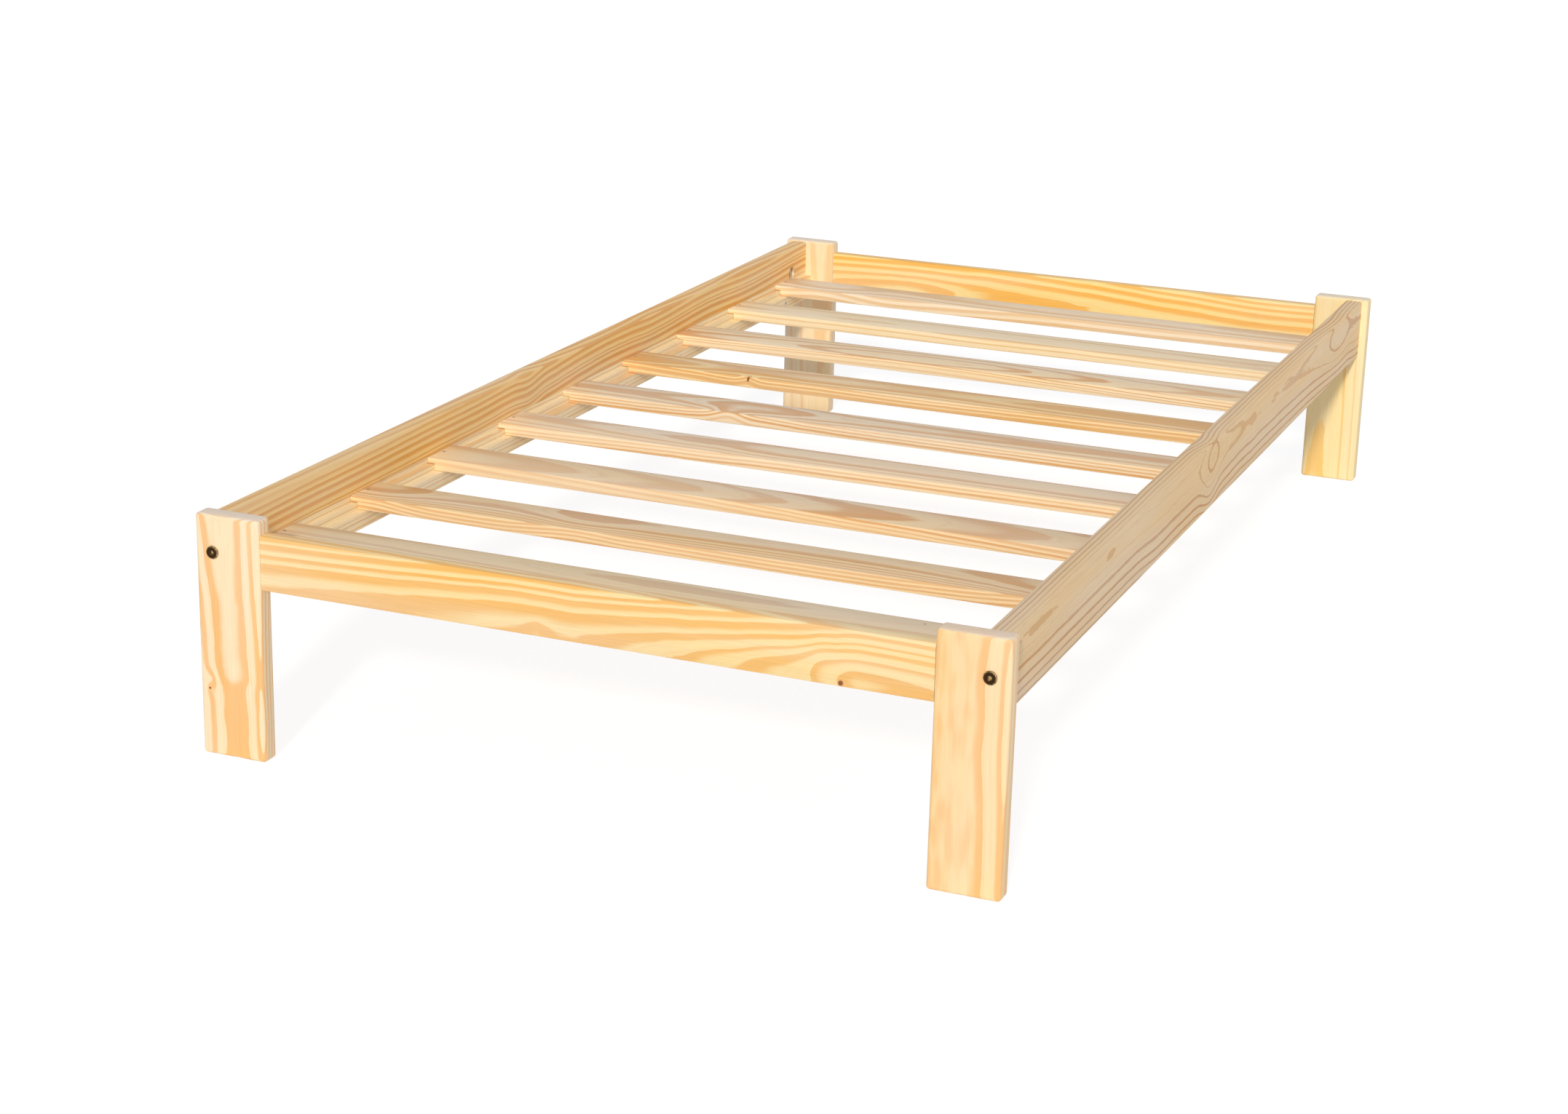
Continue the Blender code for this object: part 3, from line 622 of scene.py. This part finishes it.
def record_ramp(tree, source, stops, interpolation):
    """A colour ramp that holds a record: stops of (position, three values), each from 0 to 1."""
    ramp = add(tree, "ShaderNodeValToRGB", {0: source})
    ramp.color_ramp.interpolation = interpolation
    marks = ramp.color_ramp.elements
    marks.remove(marks[1])
    for number, (position, values) in enumerate(stops):
        mark = marks[0] if number == 0 else marks.new(position)
        mark.position = position
        mark.color = (*values, 1)
    return ramp


def ring_record(board, number):
    """The board's rings, as (radius where one ends, latewood's share, strength)."""
    if board.rings:
        return board.rings
    chance = random.Random(number)
    nearest = min(math.hypot(across, deep) for _, across, deep in board.path)
    radius = max(LEAST_RADIUS, nearest - RINGS_INSIDE)
    rings = []
    for _ in range(RING_COUNT):
        radius += board.width * chance.uniform(*WIDTH_SPREAD)
        share = board.share * chance.uniform(*SHARE_SPREAD)
        rings.append((radius, share, chance.uniform(*STRENGTH_SPREAD)))
    return rings


def pine_material(name, board, grain, groups, number):
    """Clear pine, planed and sanded, unfinished: cream earlywood banded with orange latewood, matt,
    with fine streaks along the grain and duller end grain."""
    wood = bpy.context.scene.pine_finish
    made, tree = new_material(f"sanded_pine_{name}")
    low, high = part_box(name)
    middle = (low + high) / 2
    turn = Euler(GRAIN_TURN[grain])
    seed = [math.fmod(number * share, 1) * SEED_SPAN for share in SEED_SHARES]

    coordinates = add(tree, "ShaderNodeTexCoord")
    place = add(
        tree, "ShaderNodeMapping",
        {"Vector": coordinates.outputs["Object"], "Scale": (PER_MM,) * 3, "Rotation": turn,
         "Location": -(turn.to_matrix() @ (middle * PER_MM))},
    )
    # The pith's path along the board is kept in a ramp
    half = (high - low)["XYZ".index(grain)] * PER_MM / 2
    along = add(tree, "ShaderNodeSeparateXYZ", {0: place}).outputs["Z"]
    share_along = add(tree, "ShaderNodeMapRange", {"Value": along, "From Min": -half, "From Max": half})
    span = 2 * PITH_REACH
    path = record_ramp(
        tree, share_along,
        [(min(max((at + half) / (2 * half), 0), 1),
          ((across + PITH_REACH) / span, (deep + PITH_REACH) / span, 0.5))
         for at, across, deep in board.path],
        "CARDINAL",
    )
    pith = add(
        tree, VECTOR, {0: path.outputs["Color"], 1: (span, span, 0), 2: (-PITH_REACH, -PITH_REACH, 0)},
        operation="MULTIPLY_ADD",
    )
    from_pith = add(
        tree, "ShaderNodeGroup",
        {"Place": place, "Pith": pith, "Waver": board.waver,
         "Waver Length": wood.waver_length * PER_MM, "Seed": seed},
        node_tree=groups["pith"],
    )
    swell = heart = None
    for knot in board.knots:
        # A branch climbs on its way out, so its root lies below the knot
        heading = math.radians(knot.heading)
        way = Vector((math.cos(heading), math.sin(heading), BRANCH_CLIMB)).normalized()
        nearest = min(board.path, key=lambda mark: abs(mark[0] - knot.along))
        rise = BRANCH_CLIMB * math.hypot(nearest[1], nearest[2])
        branch = add(
            tree, "ShaderNodeGroup",
            {"Place": from_pith, "Root": (0, 0, knot.along - rise), "Heading": way,
             "Radius": knot.radius, "Swell": knot.swell, "Spread": knot.spread,
             "Breadth": knot.breadth},
            node_tree=groups["knot"],
        )
        swell = branch if swell is None else add(tree, MATH, {0: swell, 1: branch}, operation="ADD")
        if knot.radius:
            core = branch.outputs["Heart"]
            heart = core if heart is None else add(tree, MATH, {0: heart, 1: core}, operation="MAXIMUM")
    radius = add(
        tree, "ShaderNodeGroup", {"Place": from_pith, "Swell": swell or 0.0},
        node_tree=groups["radius"],
    )
    rings = ring_record(board, number)
    first, last = rings[0][0] - FIRST_RING_WIDTH, rings[-1][0]
    share_out = add(tree, "ShaderNodeMapRange", {"Value": radius, "From Min": first, "From Max": last})
    record = record_ramp(
        tree, share_out,
        [(0.0, (0.0, *rings[0][1:]))] + [
            ((end - first) / (last - first), (year / MOST_YEARS, share, strength))
            for year, (end, share, strength) in enumerate(rings, start=1)
        ],
        "LINEAR",
    )
    kept = add(tree, "ShaderNodeSeparateColor", {0: record}).outputs
    years = add(tree, MATH, {0: kept[0], 1: MOST_YEARS}, operation="MULTIPLY")
    late = add(
        tree, "ShaderNodeGroup", {"Year": years, "Share": kept[1], "Strength": kept[2]},
        node_tree=groups["seasons"],
    )

    # The tone changes slowly, over about 40 mm across the board and 400 mm along it
    broad = add(
        tree, VECTOR, {0: place, 1: [1 / size for size in TONE_PATCH], 2: seed},
        operation="MULTIPLY_ADD",
    )
    tone = add(tree, "ShaderNodeTexNoise", {"Vector": broad, "Scale": 1.0, "Detail": 1.0})
    if board.heartwood:
        # Heartwood is resinous and a little redder, in clouds
        inside = add(
            tree, "ShaderNodeMapRange",
            {"Value": radius, "From Min": board.heartwood - RESIN_EDGE,
             "From Max": board.heartwood, "To Min": 1.0, "To Max": 0.0},
            interpolation_type="SMOOTHSTEP",
        )
        drifting = add(
            tree, VECTOR, {0: place, 1: [1 / size for size in RESIN_PATCH], 2: seed},
            operation="MULTIPLY_ADD",
        )
        clouds = add(tree, "ShaderNodeTexNoise", {"Vector": drifting, "Scale": 1.0, "Detail": 1.0})
        clouded = add(
            tree, "ShaderNodeMapRange",
            {"Value": clouds, "From Min": 0.36, "From Max": 0.6,
             "To Min": RESIN_DEPTH[0], "To Max": RESIN_DEPTH[1]},
        )
        resin = add(tree, MATH, {0: inside, 1: clouded}, operation="MULTIPLY")
        late = add(tree, MATH, {0: late, 1: resin}, operation="MAXIMUM")
    # Bundles of fibres streak every face along the grain, drawn a little coarser than real ones
    thin, long = wood.fibre_width * PER_MM, wood.fibre_length * PER_MM
    fine = add(
        tree, VECTOR, {0: place, 1: (1 / thin, 1 / thin, 1 / long), 2: seed}, operation="MULTIPLY_ADD",
    )
    streak = add(
        tree, "ShaderNodeTexNoise", {"Vector": fine, "Scale": 1.0, "Detail": 3.0, "Roughness": 0.6},
    )

    body = add(
        tree, MIX, {"Factor": late, "A": (*linear(board.early), 1), "B": (*linear(board.late), 1)},
        data_type="RGBA",
    )
    bright = add(
        tree, "ShaderNodeMapRange",
        {"Value": streak, "From Min": 0.25, "From Max": 0.75,
         "To Min": 1 - wood.fibre_depth, "To Max": 1 + wood.fibre_depth},
    )
    rich = add(
        tree, "ShaderNodeMapRange",
        {"Value": tone, "From Min": 0.3, "From Max": 0.7,
         "To Min": TONE_SATURATION[0], "To Max": TONE_SATURATION[1]},
    )
    toned = add(tree, "ShaderNodeHueSaturation", {"Color": body, "Value": bright, "Saturation": rich})
    if heart:
        toned = add(
            tree, MIX, {"Factor": heart, "A": toned, "B": (*wood.knot_colour, 1)}, data_type="RGBA",
        )
    # Cut cell ends make the end grain duller and a little greyer than the faces
    facing = add(
        tree, VECTOR, {0: coordinates.outputs["Normal"], 1: GRAIN_DIRECTION[grain]},
        operation="DOT_PRODUCT",
    ).outputs["Value"]
    squareness = add(tree, MATH, {0: facing}, operation="ABSOLUTE")
    end_grain = add(
        tree, "ShaderNodeMapRange",
        {"Value": squareness, "From Min": END_GRAIN_TURN[0], "From Max": END_GRAIN_TURN[1]},
        interpolation_type="SMOOTHSTEP",
    )
    duller = add(
        tree, "ShaderNodeHueSaturation",
        {"Color": toned, "Value": END_GRAIN_VALUE, "Saturation": END_GRAIN_SATURATION},
    )
    finished = add(tree, MIX, {"Factor": end_grain, "A": toned, "B": duller}, data_type="RGBA")
    matt = add(
        tree, "ShaderNodeMapRange",
        {"Value": late, "To Min": wood.roughness, "To Max": wood.roughness - LATEWOOD_GLOSS},
    )
    height = add(tree, MATH, {0: streak, 1: FIBRE_HEIGHT, 2: late}, operation="MULTIPLY_ADD")
    bump = add(tree, "ShaderNodeBump", {"Height": height, "Distance": wood.relief, "Strength": 1.0})
    shader = add(
        tree, "ShaderNodeBsdfPrincipled",
        {"Base Color": finished, "Roughness": matt, "IOR": WOOD_IOR, "Normal": bump},
    )
    add(tree, "ShaderNodeOutputMaterial", {"Surface": shader})
    return made


def antique_brass():
    """Antique-brass plating on a turned bolt: dark brown metal, with a painted highlight of brighter brass
    on the rim and in the socket.
    """
    fixings = bpy.context.scene.fixing_finish
    made, tree = new_material("antique_brass_plating")
    low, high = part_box("bed_bolt_foot_right")
    centre = (low + high) / 2 * PER_MM
    place = add(tree, "ShaderNodeTexCoord").outputs["Object"]
    scaled = add(tree, VECTOR, {0: place, "Scale": PER_MM}, operation="SCALE")
    # All four bolts mirror one another across the bed, so one distance from the axis serves them
    mirrored = add(tree, VECTOR, {0: scaled}, operation="ABSOLUTE")
    offset = add(tree, VECTOR, {0: mirrored, 1: (centre.x, 0, centre.z)}, operation="SUBTRACT")
    across = add(tree, VECTOR, {0: offset, 1: (1, 0, 1)}, operation="MULTIPLY")
    distance = add(tree, VECTOR, {0: across}, operation="LENGTH").outputs["Value"]
    # The chamfered rim gets a patchy painted highlight of brighter brass
    rim = add(
        tree, "ShaderNodeMapRange", {"Value": distance, "From Min": RIM_HIGHLIGHT[0], "From Max": RIM_HIGHLIGHT[1]},
        interpolation_type="SMOOTHSTEP",
    )
    mottle = add(
        tree, "ShaderNodeTexNoise", {"Vector": scaled, "Scale": MOTTLES_PER_MM, "Detail": 3.0},
    ).outputs["Fac"]
    patchy_highlight = add(tree, "ShaderNodeMapRange", {"Value": mottle, "From Min": 0.35, "From Max": 0.65})
    rim_highlight = add(tree, MATH, {0: rim, 1: patchy_highlight}, operation="MULTIPLY")
    # The floor of the socket gets a painted highlight of brighter brass
    socket = add(
        tree, "ShaderNodeMapRange",
        {"Value": distance, "From Min": SOCKET_HIGHLIGHT[0], "From Max": SOCKET_HIGHLIGHT[1],
         "To Min": SOCKET_HIGHLIGHT_DEPTH, "To Max": 0.0},
        interpolation_type="SMOOTHSTEP",
    )
    spread = add(tree, MATH, {0: rim_highlight, 1: socket}, operation="MAXIMUM")
    colour = add(
        tree, MIX, {"Factor": spread, "A": (*fixings.brass, 1), "B": (*fixings.worn_brass, 1)},
        data_type="RGBA",
    )
    gloss = add(tree, "ShaderNodeMapRange", {"Value": mottle, "To Min": 0.42, "To Max": 0.26})
    shader = add(
        tree, "ShaderNodeBsdfPrincipled", {"Base Color": colour, "Metallic": 1.0, "Roughness": gloss},
    )
    add(tree, "ShaderNodeOutputMaterial", {"Surface": shader})
    return made


def zinc_plating():
    """Bright zinc plating on steel wire and bar: pale grey with a faint cloudy bloom."""
    fixings = bpy.context.scene.fixing_finish
    made, tree = new_material("bright_zinc_plating")
    place = add(tree, "ShaderNodeTexCoord").outputs["Object"]
    bloom = add(
        tree, "ShaderNodeTexNoise", {"Vector": place, "Scale": 1 / BLOOM_SIZE, "Detail": 2.0},
    ).outputs["Fac"]
    colour = add(
        tree, MIX, {"Factor": bloom, "A": (*fixings.zinc, 1), "B": (*fixings.zinc_bloom, 1)},
        data_type="RGBA",
    )
    gloss = add(tree, "ShaderNodeMapRange", {"Value": bloom, "To Min": 0.28, "To Max": 0.44})
    shader = add(
        tree, "ShaderNodeBsdfPrincipled", {"Base Color": colour, "Metallic": 1.0, "Roughness": gloss},
    )
    add(tree, "ShaderNodeOutputMaterial", {"Surface": shader})
    return made


def turned_beech():
    """Turned beech: pale pinkish brown, with short darker flecks along the grain."""
    fixings = bpy.context.scene.fixing_finish
    made, tree = new_material("turned_beech")
    place = add(tree, "ShaderNodeTexCoord").outputs["Object"]
    drawn = add(tree, VECTOR, {0: place, 1: [1 / size for size in FLECK_SIZE]}, operation="MULTIPLY")
    fleck = add(tree, "ShaderNodeTexNoise", {"Vector": drawn, "Scale": 1.0}).outputs["Fac"]
    dark = add(tree, "ShaderNodeMapRange", {"Value": fleck, "From Min": 0.58, "From Max": 0.72})
    colour = add(
        tree, MIX, {"Factor": dark, "A": (*fixings.beech, 1), "B": (*fixings.beech_fleck, 1)},
        data_type="RGBA",
    )
    shader = add(
        tree, "ShaderNodeBsdfPrincipled", {"Base Color": colour, "Roughness": 0.5, "IOR": WOOD_IOR},
    )
    add(tree, "ShaderNodeOutputMaterial", {"Surface": shader})
    return made


def soft_facets():
    """A geometry group that joins the facets of a solid and shades its rounded edges smooth."""
    tree = bpy.data.node_groups.get("soft_facets")
    if tree:
        return tree
    tree = bpy.data.node_groups.new("soft_facets", "GeometryNodeTree")
    for way in ("INPUT", "OUTPUT"):
        tree.interface.new_socket("Geometry", in_out=way, socket_type="NodeSocketGeometry")
    given = tree.nodes.new("NodeGroupInput").outputs[0]
    joined = add(tree, "GeometryNodeMergeByDistance", {"Geometry": given, "Distance": FACET_GAP})
    bare = add(tree, "GeometryNodeRemoveAttribute", {"Geometry": joined, "Name": "custom_normal"})
    smooth = add(tree, "GeometryNodeSetShadeSmooth", {"Geometry": bare, "Shade Smooth": True})
    angle = add(tree, "GeometryNodeInputMeshEdgeAngle").outputs["Unsigned Angle"]
    gentle = add(tree, "FunctionNodeCompare", {"A": angle, "B": SMOOTH_ANGLE}, operation="LESS_THAN")
    eased = add(
        tree, "GeometryNodeSetShadeSmooth", {"Geometry": smooth, "Shade Smooth": gentle}, domain="EDGE",
    )
    add(tree, "NodeGroupOutput", {"Geometry": eased})
    return tree


def finish(name, material):
    """Gives a CAD node its material and shades its rounded edges smooth."""
    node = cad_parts[name]
    node.data.materials.clear()
    node.data.materials.append(material)
    node.modifiers.new("soft_facets", "NODES").node_group = soft_facets()


def finish_boards(boards, grain, first):
    """Gives each board its own pine, from groups of nodes that all of them share. The boards are
    numbered from first, and a board's number is its seed."""
    makers = {
        "pith": wandering_pith, "knot": branch_knot, "radius": ring_radius, "seasons": season_bands,
    }
    groups = {
        use: bpy.data.node_groups.get(maker.__name__) or maker() for use, maker in makers.items()
    }
    for number, (name, board) in enumerate(boards.items(), start=first):
        finish(name, pine_material(name, board, grain, groups, number))


def finish_alike(start, material):
    """Gives one material to every CAD node whose name starts that way."""
    for name in sorted(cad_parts):
        if name.startswith(start):
            finish(name, material)


class PINEBED_OT_legs(bpy.types.Operator):
    """Finishes the four board legs, whose grain stands upright"""
    bl_idname = "pine_bed.legs"
    bl_label = "Legs"

    def execute(self, context):
        finish_boards(LEGS, "Z", first=1)
        return {"FINISHED"}


class PINEBED_OT_end_rails(bpy.types.Operator):
    """Finishes the two tenoned end rails"""
    bl_idname = "pine_bed.end_rails"
    bl_label = "End Rails"

    def execute(self, context):
        finish_boards(END_RAILS, "X", first=5)
        return {"FINISHED"}


class PINEBED_OT_side_rails(bpy.types.Operator):
    """Finishes the two side rails"""
    bl_idname = "pine_bed.side_rails"
    bl_label = "Side Rails"

    def execute(self, context):
        finish_boards(SIDE_RAILS, "Y", first=7)
        return {"FINISHED"}


class PINEBED_OT_ledgers(bpy.types.Operator):
    """Finishes the stepped ledgers that carry the slats"""
    bl_idname = "pine_bed.ledgers"
    bl_label = "Ledgers"

    def execute(self, context):
        finish_boards(LEDGERS, "Y", first=9)
        return {"FINISHED"}


class PINEBED_OT_slats(bpy.types.Operator):
    """Finishes the nine cross slats"""
    bl_idname = "pine_bed.slats"
    bl_label = "Slats"

    def execute(self, context):
        finish_boards(SLATS, "X", first=11)
        return {"FINISHED"}


class PINEBED_OT_bed_bolts(bpy.types.Operator):
    """Finishes the bed bolts"""
    bl_idname = "pine_bed.bed_bolts"
    bl_label = "Bed Bolts"

    def execute(self, context):
        finish_alike("bed_bolt", antique_brass())
        return {"FINISHED"}


class PINEBED_OT_fixings(bpy.types.Operator):
    """Finishes the half-moon nuts, the slat nails and the ledger screws"""
    bl_idname = "pine_bed.fixings"
    bl_label = "Nuts, Nails and Screws"

    def execute(self, context):
        zinc = zinc_plating()
        for start in ("half_moon_nut", "slat_nail", "ledger_screw"):
            finish_alike(start, zinc)
        return {"FINISHED"}


class PINEBED_OT_dowels(bpy.types.Operator):
    """Finishes the dowels between side rails and legs"""
    bl_idname = "pine_bed.dowels"
    bl_label = "Dowels"

    def execute(self, context):
        finish_alike("dowel", turned_beech())
        return {"FINISHED"}


class PINEBED_OT_studio(bpy.types.Operator):
    """Sets up the camera, the two lamps, the even fill light and the pale floor"""
    bl_idname = "pine_bed.studio"
    bl_label = "Studio"

    def execute(self, context):
        scene = context.scene
        studio = scene.studio_setup
        scene.view_settings.view_transform = "Standard"
        make_camera(scene, studio)
        make_lamp(
            scene, "key", studio.key_strength, studio.key_softness, studio.key_colour,
            studio.key_height, studio.key_side,
        )
        make_lamp(
            scene, "side", studio.side_strength, studio.side_softness, WHITE,
            studio.side_height, studio.side_turn,
        )
        make_background(scene, studio)
        make_floor(scene, studio)
        return {"FINISHED"}


def make_camera(scene, studio):
    """The camera at the photograph's place, angle and focal length."""
    lens = bpy.data.cameras.new("camera")
    lens.sensor_width = SENSOR_WIDTH
    lens.lens = studio.focal_share * SENSOR_WIDTH
    camera = bpy.data.objects.new("camera", lens)
    level = math.radians(90)
    aim = Euler((level - studio.pitch, 0, studio.yaw)).to_matrix()
    rolled = aim @ Matrix.Rotation(studio.roll, 3, "Z")
    camera.matrix_world = Matrix.Translation(studio.camera_place) @ rolled.to_4x4()
    scene.collection.objects.link(camera)
    scene.camera = camera


def make_lamp(scene, name, strength, softness, colour, height, side):
    """A far lamp, at a height above the horizon and a turn to the right of the foot end."""
    lamp = bpy.data.lights.new(name, "SUN")
    lamp.energy = strength
    lamp.angle = softness
    lamp.color = colour
    stand = bpy.data.objects.new(name, lamp)
    stand.rotation_euler = (math.radians(90) - height, 0, side)
    scene.collection.objects.link(stand)


def seen_directly(tree):
    """1 where a ray comes from the camera, a reflection or glass, which see the background."""
    path = add(tree, "ShaderNodeLightPath").outputs
    either = add(tree, MATH, {0: path["Is Camera Ray"], 1: path["Is Glossy Ray"]}, operation="MAXIMUM")
    return add(tree, MATH, {0: either, 1: path["Is Transmission Ray"]}, operation="MAXIMUM")


def make_background(scene, studio):
    """Even light from all round, seen as white."""
    world = bpy.data.worlds.new("studio_background")
    world.use_nodes = True
    tree = world.node_tree
    tree.nodes.clear()
    light = add(
        tree, "ShaderNodeBackground", {"Color": (*studio.fill_colour, 1), "Strength": studio.fill_strength},
    )
    white = add(tree, "ShaderNodeBackground", {"Color": (*WHITE, 1), "Strength": 1.0})
    either = add(tree, "ShaderNodeMixShader", {0: seen_directly(tree), 1: light, 2: white})
    add(tree, "ShaderNodeOutputWorld", {"Surface": either})
    scene.world = world


def make_floor(scene, studio):
    """A pale matt floor, seen as white, that keeps the bed's shadow."""
    made, tree = new_material("pale_matt_floor")
    paint = add(tree, "ShaderNodeBsdfDiffuse", {"Color": (*studio.floor_colour, 1)})
    thin = add(tree, "ShaderNodeBsdfDiffuse", {"Color": (*FLOOR_COAT, 1)})
    glow = add(tree, "ShaderNodeEmission", {"Color": (*WHITE, 1), "Strength": FLOOR_GLOW})
    seen = add(tree, "ShaderNodeAddShader", {0: thin, 1: glow})
    both = add(tree, "ShaderNodeMixShader", {0: seen_directly(tree), 1: paint, 2: seen})
    add(tree, "ShaderNodeOutputMaterial", {"Surface": both})
    half = studio.floor_size / 2
    mesh = bpy.data.meshes.new("floor")
    corners = [(-half, -half, 0), (half, -half, 0), (half, half, 0), (-half, half, 0)]
    mesh.from_pydata(corners, [], [(0, 1, 2, 3)])
    mesh.materials.append(made)
    floor = bpy.data.objects.new("floor", mesh)
    scene.collection.objects.link(floor)


OPERATORS = (
    PINEBED_OT_studio, PINEBED_OT_legs, PINEBED_OT_end_rails, PINEBED_OT_side_rails,
    PINEBED_OT_ledgers, PINEBED_OT_slats, PINEBED_OT_bed_bolts, PINEBED_OT_fixings,
    PINEBED_OT_dowels,
)


class PINEBED_PT_panel(bpy.types.Panel):
    """Lists the bed's pieces and settings"""
    bl_idname = "PINEBED_PT_panel"
    bl_label = "Pine Bed"
    bl_space_type = "VIEW_3D"
    bl_region_type = "UI"
    bl_category = "Pine Bed"

    def draw(self, context):
        for operator in OPERATORS:
            self.layout.operator(operator.bl_idname)
        for group in ("pine_finish", "fixing_finish", "studio_setup"):
            settings = getattr(context.scene, group)
            box = self.layout.box()
            for name in settings.bl_rna.properties.keys():
                if name not in ("rna_type", "name"):
                    box.prop(settings, name)


CLASSES = (PineFinish, FixingFinish, StudioSetup, *OPERATORS, PINEBED_PT_panel)


def register():
    """Adds the settings, the operators and the panel."""
    for made in CLASSES:
        bpy.utils.register_class(made)
    bpy.types.Scene.pine_finish = bpy.props.PointerProperty(type=PineFinish)
    bpy.types.Scene.fixing_finish = bpy.props.PointerProperty(type=FixingFinish)
    bpy.types.Scene.studio_setup = bpy.props.PointerProperty(type=StudioSetup)


def unregister():
    """Takes them away again."""
    del bpy.types.Scene.studio_setup
    del bpy.types.Scene.fixing_finish
    del bpy.types.Scene.pine_finish
    for made in reversed(CLASSES):
        bpy.utils.unregister_class(made)


def main():
    """Finishes the whole bed."""
    register()
    bpy.ops.pine_bed.studio()
    bpy.ops.pine_bed.legs()
    bpy.ops.pine_bed.end_rails()
    bpy.ops.pine_bed.side_rails()
    bpy.ops.pine_bed.ledgers()
    bpy.ops.pine_bed.slats()
    bpy.ops.pine_bed.bed_bolts()
    bpy.ops.pine_bed.fixings()
    bpy.ops.pine_bed.dowels()


if __name__ == "__main__":
    main()
